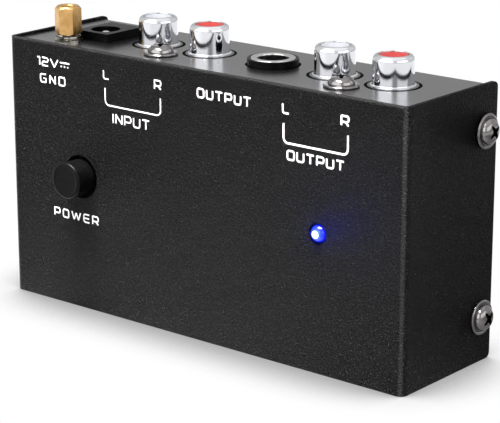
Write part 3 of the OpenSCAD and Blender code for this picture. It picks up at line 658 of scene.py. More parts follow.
@dataclass(frozen=True)
class Lamp:
    """A small soft lamp: its place, what it faces, its sides in millimetres and its spread in degrees."""

    name: str
    at: Point3
    towards: Point3
    size: Point2
    watts: float
    colour: str = "#ffffff"
    spread: float = 180.0

    def build(self) -> None:
        """Hangs the lamp, facing its target and unseen by the camera."""
        data = bpy.data.lights.new(self.name, "AREA")
        data.shape = "RECTANGLE"
        data.size, data.size_y = (side * MM for side in self.size)
        data.energy, data.color = self.watts, linear(self.colour)[:3]
        data.spread = math.radians(self.spread)
        made = bpy.data.objects.new(self.name, data)
        made.location = Vector(self.at) * MM
        made.rotation_euler = (made.location - Vector(self.towards) * MM).to_track_quat("Z", "Y").to_euler()
        made.visible_camera = False
        bpy.context.scene.collection.objects.link(made)


# ---- The preamp's pieces -------------------------------------------------------------------


@dataclass
class FoldedCase:
    """Cover and chassis of folded steel, and the rubber feet."""

    cut_edge: float = 0.18
    chassis_edge: float = 0.12
    foot_edge: float = 0.5

    def build(self) -> list[bpy.types.Object]:
        """Builds the sheets with their edges eased by the paint, and the feet; returns the pieces."""
        cover = merged_copy("front_cover")
        soften(cover, self.cut_edge, segments=3)
        chassis = merged_copy("chassis")
        soften(chassis, self.chassis_edge)
        feet = merged_copy("rubber_feet")
        soften(feet, self.foot_edge, segments=3)
        return [
            piece("cover_sheet", cover, Look.COVER, replaces=["front_cover"]),
            piece("chassis_sheet", chassis, Look.CHASSIS, replaces=["chassis"]),
            piece("moulded_feet", feet, Look.RUBBER, replaces=["rubber_feet"]),
        ]


@dataclass
class Fasteners:
    """Washer-head screws of the sides and of the jack panel."""

    edge: float = 0.05
    recess_r: float = 1.72
    side_y: float = 26.3
    side_inset: float = 9.4
    panel_y: float = 8.2
    panel_x: Point2 = (-16.0, 30.8)

    def build(self) -> list[bpy.types.Object]:
        """Builds both sets of screws with their edges rounded by plating, and returns them."""
        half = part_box("front_cover")[1].x / MM
        side, top = FACE_Y + self.side_y, TOP_Z
        sets = {
            "cover_screws": [((s * half, side, z), Vector((s, 0, 0)))
                             for s in (-1, 1) for z in (self.side_inset, top - self.side_inset)],
            "panel_screws": [((x, FACE_Y + self.panel_y, PANEL_Z), Vector((0, 0, 1))) for x in self.panel_x],
        }
        made = []
        for node, seats in sets.items():
            bm = merged_copy(node)
            soften(bm, self.edge)
            for seat, out in seats:
                self.darken_recess(bm, Vector(seat) * MM, out)
            screws = piece(node.replace("_screws", "_washer_screws"), bm, Look.NICKEL,
                           replaces=[node])
            # The second material is painted shade in each cross recess.
            screws.data.materials.append(Look.RECESS_SHADE.material())
            made.append(screws)
        dress(Look.NICKEL, "board_screws")
        return made

    def darken_recess(self, bm: bmesh.types.BMesh, seat: Vector, out: Vector) -> None:
        """Gives the floor and the walls of one screw's cross recess the second finish, a painted shade.

        Args:
            bm: the screws' mesh.
            seat: the middle of the screw's seat, in metres.
            out: the way its head faces.
        """
        for face in bm.faces:
            arm = face.calc_center_median() - seat
            rise = arm.dot(out)
            near = (arm - out * rise).length < self.recess_r * MM and rise > 0.8 * MM
            if near and (rise < 0.9 * MM or face.normal.dot(out) < 0.5):
                face.material_index = 1


class Channel(Enum):
    """The two sides of a stereo pair, told apart by their inserts."""

    LEFT = "left"
    RIGHT = "right"

    @property
    def look(self) -> Finish:
        """The finish of this side's insert."""
        return Look.WHITE_ABS if self is Channel.LEFT else Look.RED_ABS

    @property
    def slot(self) -> str:
        """The record's slot of this side's insert."""
        return "white_moulding" if self is Channel.LEFT else "red_moulding"


@dataclass
class PhonoSocket:
    """One phono socket: a drawn barrel with a rolled rim, and its dished insert."""

    pair: str
    channel: Channel
    x: float
    y: float = FACE_Y + 15.4
    barrel_r: float = 4.15
    wall: float = 0.7
    mouth_r: float = 3.0
    top: float = PANEL_Z + 6.2
    foot: float = 47.0
    collar_top: float = PANEL_Z + 0.1
    bead_r: float = 4.57
    rim_r: float = 1.1

    @property
    def name(self) -> str:
        """The socket's name, such as input_left."""
        return f"{self.pair}_{self.channel.value}"

    def shell(self) -> bpy.types.Object:
        """Builds the barrel, from the rolled rim down to its foot in the block, with its leg."""
        inner = self.barrel_r - self.wall
        shank = self.barrel_r - 0.25
        bead_top = self.collar_top + 0.12
        bm = turned(rounded_profile([
            (inner, self.foot, 0), (shank, self.foot, 0), (shank, self.collar_top, 0),
            (self.bead_r, self.collar_top, 0), (self.bead_r, bead_top, 0.05),
            (self.barrel_r, bead_top, 0.3), (self.barrel_r, self.top, self.rim_r),
            (self.mouth_r, self.top, 0.12), (self.mouth_r, self.top - 1.0, 0.1),
            (inner, self.top - 1.1, 0),
        ], 10))
        place(bm, (self.x, self.y, 0))
        for low, high, deep in ((-0.5, 0.5, (inner + 0.2, 7.6)), (-0.4, 0.4, (6.0, 11.4))):
            self.leg(bm, low, high, deep)
        return piece(f"{self.name}_barrel", bm, Look.CHROME,
                     replaces=[f"{self.name}_shell"])

    def leg(self, bm: bmesh.types.BMesh, low: float, high: float, deep: Point2) -> None:
        """Adds one length of the solder leg to a placed shell.

        Args:
            bm: the shell's mesh.
            low: the leg's left side, from the axis, in millimetres.
            high: its right side.
            deep: its front and back, from the axis, in millimetres.
        """
        tall = 1.2 if high > 0.45 else 0.6
        size = Matrix.Diagonal(((high - low) * MM, (deep[1] - deep[0]) * MM, tall * MM, 1))
        middle = Vector((self.x, self.y + sum(deep) / 2, self.foot + 0.6)) * MM
        bmesh.ops.create_cube(bm, size=1, matrix=Matrix.Translation(middle) @ size)

    def insert(self) -> bpy.types.Object:
        """Builds the coloured insert, dished towards the pin hole."""
        inner = self.barrel_r - self.wall - 0.05
        face, mouth = self.top - 0.25, self.mouth_r - 0.05
        bm = turned(rounded_profile([
            (2.0, self.foot + 0.2, 0), (inner, self.foot + 0.2, 0), (inner, self.top - 1.2, 0),
            (mouth, self.top - 1.2, 0), (mouth, face, 0.06), (mouth - 0.15, face, 0.1),
            (1.72, face - 0.8, 0.12), (1.72, face - 1.7, 0), (2.0, face - 1.7, 0),
        ]), 64)
        place(bm, (self.x, self.y, 0))
        return piece(f"{self.name}_insert", bm, self.channel.look,
                     replaces=[f"{self.name}_insulator"])

    def build(self) -> list[bpy.types.Object]:
        """Builds the barrel and the insert, dresses the split contact and returns the new pieces."""
        dress(Look.BRONZE, f"{self.name}_contact")
        return [self.shell(), self.insert()]


@dataclass
class JackBlock:
    """The moulded block of one pair of phono sockets, whose collars fill the panel's holes."""

    pair: str
    edge: float = 0.1

    def build(self) -> list[bpy.types.Object]:
        """Builds the block with the round edges of its mould, and returns it."""
        block = merged_copy(f"{self.pair}_jack_block")
        soften(block, self.edge)
        return [piece(f"{self.pair}_socket_block", block, Look.SOCKET_NYLON,
                      replaces=[f"{self.pair}_jack_block"])]


@dataclass
class PhoneJack:
    """The 6.35 mm jack: moulded body with a round snout, bright bush and contact leaves."""

    x: float = 8.0
    y: float = FACE_Y + 15.4
    top: float = PANEL_Z + 1.5
    bore_r: float = 3.2
    bush_r: float = 4.6
    bush_long: float = 3.0
    edge: float = 0.16

    def build(self) -> list[bpy.types.Object]:
        """Builds the body and the bush, dresses the leaves and returns the new pieces."""
        body = merged_copy("phone_jack_body")
        soften(body, self.edge)
        bush = turned(rounded_profile([
            (self.bore_r, self.top - self.bush_long, 0), (self.bush_r, self.top - self.bush_long, 0),
            (self.bush_r, self.top + 0.02, 0.2), (self.bore_r, self.top + 0.02, 0.3),
        ]), 96)
        place(bush, (self.x, self.y, 0))
        dress(Look.BRONZE, "phone_jack_leaves")
        return [
            piece("phone_jack_moulding", body, Look.GLOSS_NYLON,
                  replaces=["phone_jack_body"]),
            piece("phone_jack_ring", bush, Look.BUSH,
                  replaces=["phone_jack_bush"]),
        ]


@dataclass
class PowerInlet:
    """The low-voltage inlet: a glossy block with a pin in a round well."""

    edge: float = 0.14

    def build(self) -> list[bpy.types.Object]:
        """Builds the block, dresses the pin and the side leaf, and returns the new piece."""
        block = merged_copy("power_inlet_body")
        soften(block, self.edge)
        dress(Look.CHROME, "power_inlet_pin")
        dress(Look.NICKEL, "power_inlet_leaf")
        return [piece("power_inlet_block", block, Look.GLOSS_NYLON,
                      replaces=["power_inlet_body"])]


@dataclass
class GroundPost:
    """The ground post: brass hexagon nut over a split washer and a plain washer on a stud."""

    x: float = -40.4
    y: float = FACE_Y + 6.0
    wire: float = 0.95
    mean_r: float = 2.18
    low: float = PANEL_Z + 0.52
    rise: float = 0.42
    turns: float = 0.96
    steps: int = 60
    washer_edge: float = 0.12
    nut_edge: float = 0.06

    def lock_washer(self) -> bpy.types.Object:
        """Builds the split washer: one rising turn of square wire with eased edges."""
        bm = bmesh.new()
        side = self.wire / 2
        flat = bmesh.ops.create_circle(bm, cap_ends=True, segments=4, radius=side * math.sqrt(2) * MM,
                                       matrix=Matrix.Rotation(math.pi / 4, 4, "Z"))["verts"]
        bmesh.ops.scale(bm, vec=(1, 0.66, 1), verts=flat)
        bmesh.ops.rotate(bm, matrix=Matrix.Rotation(math.pi / 2, 3, "X"), verts=flat)
        bmesh.ops.translate(bm, vec=Vector((self.mean_r, 0, side * 0.7)) * MM, verts=flat)
        bmesh.ops.spin(bm, geom=bm.verts[:] + bm.edges[:] + bm.faces[:], cent=(0, 0, 0), axis=(0, 0, 1),
                       dvec=(0, 0, self.rise * MM / self.steps), angle=2 * math.pi * self.turns,
                       steps=self.steps)
        inside = [f for f in bm.faces if all(not e.is_manifold and len(e.link_faces) > 2 for e in f.edges)]
        bmesh.ops.delete(bm, geom=inside, context="FACES")
        bmesh.ops.recalc_face_normals(bm, faces=bm.faces)
        soften(bm, self.washer_edge, 40)
        place(bm, (self.x, self.y, self.low), Matrix.Rotation(math.radians(-60), 3, "Z"))
        return piece("split_washer", bm, Look.ZINC, "washer", ["ground_lock_washer"])

    def build(self) -> list[bpy.types.Object]:
        """Builds the nut and the split washer, dresses the rest and returns the new pieces."""
        nut = merged_copy("ground_nut")
        soften(nut, self.nut_edge, 24)
        dress(Look.ZINC, "ground_stud", "ground_plain_washer")
        dress(Look.TINNED, "ground_tag")
        return [
            piece("brass_nut", nut, Look.BRASS, "nut", ["ground_nut"], 24),
            self.lock_washer(),
        ]


@dataclass
class PushButton:
    """The button cap, and the latching switch behind it."""

    x: float = -32.0
    z: float = 29.2
    out: float = 4.6
    radius: float = 3.95
    length: float = 14.0
    travel: float = 2.6

    def build(self) -> list[bpy.types.Object]:
        """Builds the cap with its rolled face edge, dresses the switch and returns the cap."""
        r = self.radius
        bm = turned(rounded_profile([
            (0, 0.16, 0), (r - 0.95, 0.08, 0.6), (r - 0.62, 0, 0.25), (r, 0.02, 0.52), (r, 1.7, 0.08),
            (r - 0.14, 1.78, 0), (r - 0.14, self.length, 0.3), (1.65, self.length, 0),
            (1.65, self.length - 4.9, 0), (0, self.length - 4.9, 0),
        ]), 96)
        place(bm, (self.x, FACE_Y - self.out, self.z), Matrix.Rotation(-math.pi / 2, 3, "X"))
        dress(Look.ACETAL, "switch_plunger")
        dress(Look.NYLON, "switch_housing")
        dress(Look.PHENOLIC, "switch_base")
        dress(Look.TINNED, "switch_terminals")
        coil = piece("switch_coil", merged_copy("switch_spring"), Look.MUSIC_WIRE,
                     replaces=["switch_spring"], smooth_angle=70)
        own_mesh(coil)
        return [piece("button_cap", bm, Look.BUTTON_ABS, "push_button", ["power_button"]), coil]


@dataclass
class PowerLamp:
    """The blue lamp in its hole, lit."""

    x: float = 31.6
    z: float = 28.8
    radius: float = 1.85
    tip: float = -0.9
    length: float = 5.5
    spill_watts: float = 0.0035

    def build(self) -> list[bpy.types.Object]:
        """Builds the domed lens and its spill on the coat, dresses its leads and returns the lens."""
        r = self.radius
        dome = [(r * math.cos(math.radians(a)), r - r * math.sin(math.radians(a))) for a in range(90, -1, -9)]
        bm = turned(dome + [(r, self.length - 1), (r + 0.4, self.length - 1), (r + 0.4, self.length),
                            (0, self.length)], 64)
        place(bm, (self.x, FACE_Y + self.tip, self.z), Matrix.Rotation(-math.pi / 2, 3, "X"))
        look = LampEpoxy("blue_lamp_epoxy", "#0a1460", roughness=0.12, lump_mm=1,
                         centre=(self.x, 0, self.z), edge_mm=r, glow=1.0)
        dress(Look.TINNED, "lamp_leads")
        spot = (self.x, FACE_Y + self.tip - 0.5, self.z)
        Lamp("dome_spill", spot, (self.x, FACE_Y, self.z), (2 * r, 2 * r), self.spill_watts, "#2038ff").build()
        return [piece("lamp_dome", bm, look, replaces=["lamp_lens"])]


@dataclass
class CircuitBoard:
    """The board and all that it carries, closed in behind the sockets."""

    def build(self) -> list[bpy.types.Object]:
        """Dresses the board, its parts and its fixings; no new piece is needed."""
        dress(Look.MASK, "circuit_board")
        dress(Look.BRASS, "board_spacers")
        dress(Look.EPOXY, "amplifier_chips", "voltage_regulator", "rectifier_diode")
        dress(Look.DIPPED, "film_capacitors")
        dress(Look.SLEEVE, "small_electrolytics", "large_electrolytics")
        dress(Look.LACQUER, "resistors")
        dress(Look.TINNED, "component_leads")
        return []


# ---- Printed legends -----------------------------------------------------------------------

# Strokes of each sign in a box of 1 by 1: width, then paths as (x, y, corner radius) points.
Path = tuple[tuple[float, float, float], ...]
SIGNS: dict[str, tuple[float, tuple[tuple[Path, bool], ...]]] = {}


def sign(character: str, width: float, *paths: Sequence[tuple[float, ...]], closed: bool = False) -> None:
    """Adds a sign to the alphabet.

    Args:
        character: what the sign stands for.
        width: its width, as a share of its height.
        *paths: its strokes, as (x, y) points or (x, y, corner radius) points.
        closed: whether the first stroke joins its own start.
    """
    strokes = tuple((tuple((p[0], p[1], p[2] if len(p) > 2 else 0.0) for p in path), closed and k == 0)
                    for k, path in enumerate(paths))
    SIGNS[character] = (width, strokes)


CORNER = 0.24
sign("O", 0.94, [(0, 0, CORNER), (1, 0, CORNER), (1, 1, CORNER), (0, 1, CORNER)], closed=True)
sign("D", 0.94, [(0, 0, 0.04), (1, 0, CORNER), (1, 1, CORNER), (0, 1, 0.04)], closed=True)
sign("U", 0.9, [(0, 1), (0, 0, CORNER), (1, 0, CORNER), (1, 1)])
sign("T", 1.0, [(0, 1), (1, 1)], [(0.5, 0.95), (0.5, 0)])
sign("P", 0.92, [(0, 0), (0, 1, 0.04), (1, 1, CORNER), (1, 0.36, CORNER), (0.05, 0.36)])
sign("R", 0.94, [(0, 0), (0, 1, 0.04), (1, 1, CORNER), (1, 0.38, CORNER), (0.05, 0.38)],
     [(0.55, 0.38), (1, 0)])
sign("I", 0.0, [(0, 0), (0, 1)])
sign("N", 0.92, [(0, 0), (0, 1, 0.04), (1, 0, 0.04), (1, 1)])
sign("W", 1.5, [(0, 1), (0.25, 0, 0.05), (0.5, 0.9, 0.05), (0.75, 0, 0.05), (1, 1)])
sign("E", 0.95, [(1, 1), (0, 1, CORNER), (0, 0, CORNER), (1, 0)], [(0.05, 0.5), (0.95, 0.5)])
sign("G", 0.92, [(1, 1), (0, 1, CORNER), (0, 0, CORNER), (1, 0, 0.1), (1, 0.5), (0.55, 0.5)])
sign("L", 0.8, [(0, 1), (0, 0, CORNER), (1, 0)])
sign("V", 1.3, [(0, 1), (0.5, 0, 0.05), (1, 1)])
sign("1", 0.4, [(0, 0.96), (1, 1, 0.04), (1, 0)])
sign("2", 1.0, [(0, 1), (1, 1, CORNER), (1, 0.5, CORNER), (0, 0.5, CORNER), (0, 0, 0.1), (1, 0)])
sign("=", 1.62, [(0, 0.76), (1, 0.76)], [(0.08, 0.28), (0.2, 0.28)], [(0.42, 0.28), (0.54, 0.28)],
     [(0.76, 0.28), (0.88, 0.28)])


@dataclass
class Legend:
    """A line of printed signs, or a bracket, on the labelled face."""

    name: str
    left: float
    base: float
    right: float
    text: str = ""
    height: float = 2.05
    weight: float = 0.36
    swing: float = 0.015

    def strokes(self) -> list[tuple[list[Point2], bool]]:
        """Returns each stroke's centre line in millimetres, in X and Z, and whether it closes."""
        inner = self.height - self.weight
        widths = [SIGNS[c][0] * inner for c in self.text]
        ink = sum(widths) + self.weight * len(self.text)
        spare = (self.right - self.left - ink) / max(len(self.text) - 1, 1)
        lines: list[tuple[list[Point2], bool]] = []
        x = self.left + self.weight / 2
        for character, width in zip(self.text, widths):
            for path, closed in SIGNS[character][1]:
                corners = [(x + px * width, self.base + self.weight / 2 + pz * inner, radius * inner)
                           for px, pz, radius in path]
                lines.append((rounded_profile(corners, 5), closed))
            x += width + self.weight + spare
        return lines

    def build(self) -> list[bpy.types.Object]:
        """Prints the strokes as flat ribbons of ink, and returns the one piece they make."""
        return [print_lines(self.name, self.strokes(), self.weight, self.swing)]


@dataclass
class Bracket(Legend):
    """A bracket with round corners that ties two letters to one word."""

    drop: float = 4.0
    weight: float = 0.4
    corner: float = 1.1

    def strokes(self) -> list[tuple[list[Point2], bool]]:
        """Returns the bracket's one line: down, across with round corners, and up."""
        return [(rounded_profile([
            (self.left, self.base + self.drop, 0), (self.left, self.base, self.corner),
            (self.right, self.base, self.corner), (self.right, self.base + self.drop, 0)], 8), False)]


def print_lines(name: str, lines: list[tuple[list[Point2], bool]], weight: float,
                thick: float) -> bpy.types.Object:
    """Makes ribbons of ink that lie on the labelled face.

    Args:
        name: the piece's name.
        lines: centre lines in millimetres, in X and Z, and whether each closes.
        weight: the ribbons' width.
        thick: how far the ink stands out of the face.

    Returns:
        The piece.
    """
    curve = bpy.data.curves.new(name, "CURVE")
    curve.dimensions = "3D"
    curve.bevel_depth = weight / 2 * MM
    curve.bevel_resolution = 2
    curve.use_fill_caps = True
    for points, closed in lines:
        spline = curve.splines.new("POLY")
        spline.points.add(len(points) - 1)
        for target, (x, z) in zip(spline.points, points):
            target.co = (x * MM, z * MM, 0, 1)
        spline.use_cyclic_u = closed
    holder = bpy.data.objects.new(name + "_lines", curve)
    bpy.context.scene.collection.objects.link(holder)
    bm = bmesh.new()
    bm.from_mesh(holder.to_mesh())
    holder.to_mesh_clear()
    bpy.data.objects.remove(holder)
    bmesh.ops.scale(bm, vec=(1, 1, 2 * thick / weight), verts=bm.verts)
    bmesh.ops.recalc_face_normals(bm, faces=bm.faces)
    place(bm, (0, FACE_Y, 0), FACING_OUT)
    return piece(name, bm, Look.INK, smooth_angle=60)


@dataclass
class LegendSheet:
    """All the printing on the labelled face."""

    lines: list[Legend] = field(default_factory=lambda: [
        Legend("legend_supply", -44.1, 51.75, -37.7, "12V", 2.0, 0.31),
        Legend("legend_direct_current", -37.4, 51.75, -34.5, "=", 2.0, 0.3),
        Legend("legend_ground", -43.3, 48.1, -35.8, "GND", 2.05, 0.32),
        Legend("legend_input_left", -24.8, 51.4, -23.0, "L", 2.05, 0.3),
        Legend("legend_input_right", -10.6, 51.3, -8.8, "R", 2.1, 0.31),
        Bracket("bracket_input", -24.3, 46.0, -8.9, drop=3.6, weight=0.3),
        Legend("legend_input", -22.3, 42.35, -11.9, "INPUT", 2.2, 0.31),
        Legend("legend_phone", 0.9, 51.3, 15.0, "OUTPUT", 2.1, 0.36),
        Legend("legend_output_left", 22.7, 51.4, 24.6, "L", 2.2, 0.38),
        Legend("legend_output_right", 36.9, 51.2, 39.2, "R", 2.2, 0.38),
        Bracket("bracket_output", 23.1, 45.7, 38.7, drop=3.85, weight=0.42),
        Legend("legend_output", 23.9, 42.3, 38.0, "OUTPUT", 2.15, 0.39),
        Legend("legend_power", -40.1, 19.2, -26.9, "POWER", 2.05, 0.34),
    ])

    def build(self) -> list[bpy.types.Object]:
        """Prints every line and returns the pieces."""
        return [made for line in self.lines for made in line.build()]


# ---- Studio --------------------------------------------------------------------------------


@dataclass(frozen=True)
class SoftBox:
    """A panel of the studio, between two bearings and two heights in degrees.

    Attributes:
        first: the bearing it starts at; 0 faces the labelled face and 90 the right flange.
        last: the bearing it ends at.
        low: its lower height.
        high: its upper height.
        level: how much it adds to the studio's light; a negative level is a dark cloth.
        fade: how soft its border is, in degrees.
    """

    first: float
    last: float
    low: float
    high: float
    level: float
    fade: float = 3.0


@dataclass
class Studio:
    """Floor, light and camera.

    Attributes:
        azimuth: the camera's bearing, and elevation its height, in degrees.
        distance: from the camera to its target, in millimetres.
        focal_px: its focal length in pixels of an image image_px wide.
        shadow_mm: how close to the object the floor's painted shadow begins to darken it.
        shadow_level: the floor's level where that painted shadow is darkest.
        paper: the floor's grey for light that it bounces, and flagged the darker grey that reflections see in
            the flag patch, a painted shade.
        glow_left: how white polished metal sees the floor on the left, and glow_right elsewhere.
        flag: the middle of the flag patch, a painted shade that reflections see on the floor where a black flag
            would shade it, and flag_mm its radius.
        sky: the world's level, and zenith the level overhead.
        top_lamp: the lamp that rakes the labelled face and brings out its lumps.
        boxes: the soft boxes and dark cloths round the object.
    """

    azimuth: float = 39.642
    elevation: float = 16.255
    distance: float = 435.347
    focal_px: float = 2093.381
    image_px: float = 500.0
    target: Point3 = (2.261, FACE_Y + 15, 24.511)
    shadow_mm: float = 24.0
    shadow_level: float = 0.38
    paper: float = 0.55
    flagged: float = 0.08
    glow_left: float = 0.5
    glow_right: float = 0.3
    flag: Point3 = (125, 40, 0)
    flag_mm: float = 75.0
    sky: float = 0.85
    zenith: float = 1.25
    top_lamp: Lamp = Lamp("top_lamp", (18, FACE_Y - 12, 92), (18, FACE_Y, 24), (180, 10), 0.115, spread=46)
    boxes: tuple[SoftBox, ...] = (
        SoftBox(-52, 30, 7, 42, 2.4, 6.0), SoftBox(-60, 15, 50, 74, 3.6, 6.0),
        SoftBox(58, 118, 7, 36, 1.9, 6.0), SoftBox(-176, -105, 4, 34, -0.18, 4.0),
        SoftBox(-155, -125, -4, 24, -0.1, 3.0))

    def camera(self) -> None:
        """Sets the camera: a long lens, above the labelled face and to its right."""
        a, e = math.radians(self.azimuth), math.radians(self.elevation)
        back = Vector((math.sin(a) * math.cos(e), -math.cos(a) * math.cos(e), math.sin(e)))
        data = bpy.data.cameras.new("camera")
        data.sensor_width = 36
        data.lens = self.focal_px / self.image_px * data.sensor_width
        data.clip_start, data.clip_end = 0.01, 50
        made = bpy.data.objects.new("camera", data)
        made.location = (Vector(self.target) + back * self.distance) * MM
        made.rotation_euler = back.to_track_quat("Z", "Y").to_euler()
        bpy.context.scene.collection.objects.link(made)
        bpy.context.scene.camera = made

    def floor(self) -> None:
        """Lays the pale floor, which shows white to the camera, with a painted shadow that darkens it near the
        object.
        """
        bm = bmesh.new()
        bmesh.ops.create_grid(bm, x_segments=1, y_segments=1, size=6)
        mesh = bpy.data.meshes.new("floor")
        bm.to_mesh(mesh)
        bm.free()
        made = bpy.data.objects.new("floor", mesh)
        bpy.context.scene.collection.objects.link(made)
        paper = bpy.data.materials.new("white_paper_sweep")
        paper.use_nodes = True
        tree = paper.node_tree
        shader = tree.nodes["Principled BSDF"]
        shader.inputs["Roughness"].default_value = 0.9
        shader.inputs["Specular IOR Level"].default_value = 0
        shader.inputs["Emission Color"].default_value = (1, 1, 1, 1)
        ray = add_node(tree, "ShaderNodeLightPath")
        # Painted shadow: the camera sees the floor darken near the object by ambient occlusion, not by the
        # lamps' light.
        open_sky = add_node(tree, "ShaderNodeAmbientOcclusion", {"Distance": self.shadow_mm * MM}, samples=12)
        clear = add_node(tree, "ShaderNodeMapRange", {
            "Value": open_sky.outputs["AO"], "From Min": 0.5, "From Max": 0.82,
            "To Min": self.shadow_level, "To Max": 1})
        seen = add_node(tree, "ShaderNodeMath", {0: ray.outputs["Is Camera Ray"], 1: clear.outputs[0]},
                        operation="MULTIPLY").outputs[0]
        mirrored = add_node(tree, "ShaderNodeMath", {0: ray.outputs["Is Glossy Ray"], 1: self.paper_glow(tree)},
                            operation="MULTIPLY").outputs[0]
        glow = add_node(tree, "ShaderNodeMath", {0: seen, 1: mirrored}, operation="ADD").outputs[0]
        # Painted shade: reflections see the paper dark in the flag patch.
        flag = add_node(tree, "ShaderNodeMath", {0: ray.outputs["Is Glossy Ray"], 1: self.flag_shade(tree)},
                        operation="MULTIPLY").outputs[0]
        sheet = add_node(tree, "ShaderNodeMix", {
            0: flag, 6: (*[self.paper] * 3, 1), 7: (*[self.flagged] * 3, 1)}, data_type="RGBA").outputs[2]
        lit = add_node(tree, "ShaderNodeMix", {
            0: ray.outputs["Is Camera Ray"], 6: sheet, 7: (0, 0, 0, 1)}, data_type="RGBA").outputs[2]
        tree.links.new(lit, shader.inputs["Base Color"])
        tree.links.new(glow, shader.inputs["Emission Strength"])
        made.data.materials.append(paper)

    def paper_glow(self, tree: bpy.types.NodeTree) -> bpy.types.NodeSocket:
        """Works out how much whiter polished metal sees the paper.

        Args:
            tree: the paper's tree.

        Returns:
            The socket that gives it: most on the left, none far away.
        """
        spot = add_node(tree, "ShaderNodeTexCoord")
        axes = add_node(tree, "ShaderNodeSeparateXYZ", {0: spot.outputs["Object"]})
        left = add_node(tree, "ShaderNodeMapRange", {
            "Value": axes.outputs["X"], "From Min": -0.12, "From Max": 0,
            "To Min": self.glow_left, "To Max": self.glow_right}).outputs[0]
        away = add_node(tree, "ShaderNodeVectorMath", {0: spot.outputs["Object"]}, operation="LENGTH")
        near = add_node(tree, "ShaderNodeMapRange", {
            "Value": away.outputs["Value"], "From Min": 0.9, "From Max": 1.4, "To Min": 1,
            "To Max": 0}).outputs[0]
        return add_node(tree, "ShaderNodeMath", {0: left, 1: near}, operation="MULTIPLY").outputs[0]

    def flag_shade(self, tree: bpy.types.NodeTree) -> bpy.types.NodeSocket:
        """Works out where reflections see the paper dark: a painted shade, as under a black flag.

        Args:
            tree: the paper's tree.

        Returns:
            The socket that gives it: 1 beside the right flange, 0 elsewhere.
        """
        spot = add_node(tree, "ShaderNodeTexCoord")
        moved = add_node(tree, "ShaderNodeVectorMath", {
            0: spot.outputs["Object"], 1: [-c * MM for c in self.flag]}, operation="ADD")
        away = add_node(tree, "ShaderNodeVectorMath", {0: moved.outputs["Vector"]}, operation="LENGTH")
        return add_node(tree, "ShaderNodeMapRange", {
            "Value": away.outputs["Value"], "From Min": self.flag_mm * MM,
            "From Max": 1.7 * self.flag_mm * MM, "To Min": 1, "To Max": 0}).outputs[0]

    def sky_light(self) -> None:
        """Sets the world: soft boxes round a grey studio, behind a backdrop that shows as white."""
        world = bpy.data.worlds.new("studio_sky")
        bpy.context.scene.world = world
        world.use_nodes = True
        tree = world.node_tree
        tree.nodes.clear()
        ray = add_node(tree, "ShaderNodeLightPath")
        spot = add_node(tree, "ShaderNodeTexCoord")
        axes = add_node(tree, "ShaderNodeSeparateXYZ", {0: spot.outputs["Generated"]})
        front = add_node(tree, "ShaderNodeMath", {0: axes.outputs["Y"], 1: -1}, operation="MULTIPLY").outputs[0]
        turn = add_node(tree, "ShaderNodeMath", {0: axes.outputs["X"], 1: front},
                        operation="ARCTAN2").outputs[0]
        bearing = add_node(tree, "ShaderNodeMath", {0: turn}, operation="DEGREES").outputs[0]
        rise = add_node(tree, "ShaderNodeMath", {0: axes.outputs["Z"]}, operation="ARCSINE").outputs[0]
        height = add_node(tree, "ShaderNodeMath", {0: rise}, operation="DEGREES").outputs[0]
        open_air = add_node(tree, "ShaderNodeMapRange", {
            "Value": height, "From Min": 1, "From Max": 4, "To Min": 0.15, "To Max": self.sky})
        overhead = add_node(tree, "ShaderNodeMapRange", {
            "Value": height, "From Min": 46, "From Max": 56, "To Min": 0, "To Max": self.zenith - self.sky})
        level = add_node(tree, "ShaderNodeMath", {0: open_air.outputs[0], 1: overhead.outputs[0]},
                         operation="ADD").outputs[0]
        for box in self.boxes:
            across = self.window(tree, bearing, box.first, box.last, box.fade)
            up = self.window(tree, height, box.low, box.high, box.fade)
            both = add_node(tree, "ShaderNodeMath", {0: across, 1: up}, operation="MULTIPLY").outputs[0]
            level = add_node(tree, "ShaderNodeMath", {0: both, 1: box.level, 2: level},
                             operation="MULTIPLY_ADD").outputs[0]
        seen = add_node(tree, "ShaderNodeBackground", {"Color": (1, 1, 1, 1), "Strength": 1.0})
        lit = add_node(tree, "ShaderNodeBackground", {"Color": (1, 1, 1, 1), "Strength": level})
        mixed = add_node(tree, "ShaderNodeMixShader", {
            0: ray.outputs["Is Camera Ray"], 1: lit.outputs[0], 2: seen.outputs[0]})
        add_node(tree, "ShaderNodeOutputWorld", {"Surface": mixed.outputs[0]})

    def window(self, tree: bpy.types.NodeTree, value: bpy.types.NodeSocket, low: float, high: float,
               fade: float) -> bpy.types.NodeSocket:
        """Adds a mask that is 1 between two values and fades at both ends.

        Args:
            tree: the world's tree.
            value: the socket that is masked.
            low: the middle of the rising end.
            high: the middle of the falling end.
            fade: half the width of each end.

        Returns:
            The mask's socket.
        """
        rising, falling = (add_node(tree, "ShaderNodeMapRange", {
            "Value": value, "From Min": end - fade, "From Max": end + fade, "To Min": first,
            "To Max": 1 - first}).outputs[0] for end, first in ((low, 0), (high, 1)))
        return add_node(tree, "ShaderNodeMath", {0: rising, 1: falling}, operation="MULTIPLY").outputs[0]

    def build(self) -> None:
        """Sets up the camera, the floor and the light."""
        self.camera()
        self.floor()
        self.sky_light()
        self.top_lamp.build()
        bpy.context.scene.view_settings.view_transform = "Standard"


def main() -> None:
    """Builds the studio and every sub-assembly."""
    logging.basicConfig(level=logging.INFO, format="%(name)s: %(message)s")
    Studio().build()
    sub_assemblies = [
        FoldedCase(), Fasteners(), JackBlock("input"), JackBlock("output"),
        PhonoSocket("input", Channel.LEFT, -23.1), PhonoSocket("input", Channel.RIGHT, -8.9),
        PhonoSocket("output", Channel.LEFT, 23.7), PhonoSocket("output", Channel.RIGHT, 37.9),
        PhoneJack(), PowerInlet(), GroundPost(), PushButton(), PowerLamp(), CircuitBoard(), LegendSheet(),
    ]
    for sub_assembly in sub_assemblies:
        for made in sub_assembly.build():
            log.info("%s: %s, %d faces", type(sub_assembly).__name__, made.name, len(made.data.polygons))


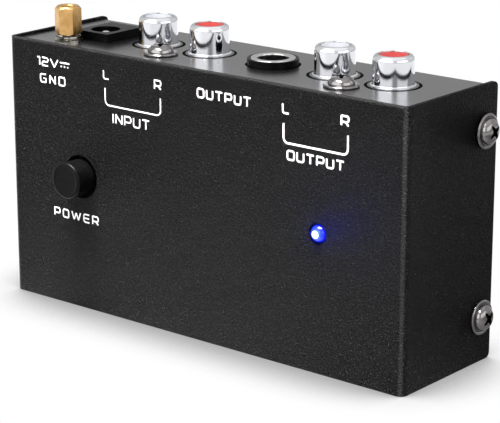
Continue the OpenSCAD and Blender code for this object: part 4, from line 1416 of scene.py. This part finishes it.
if __name__ == "__main__":
    main()
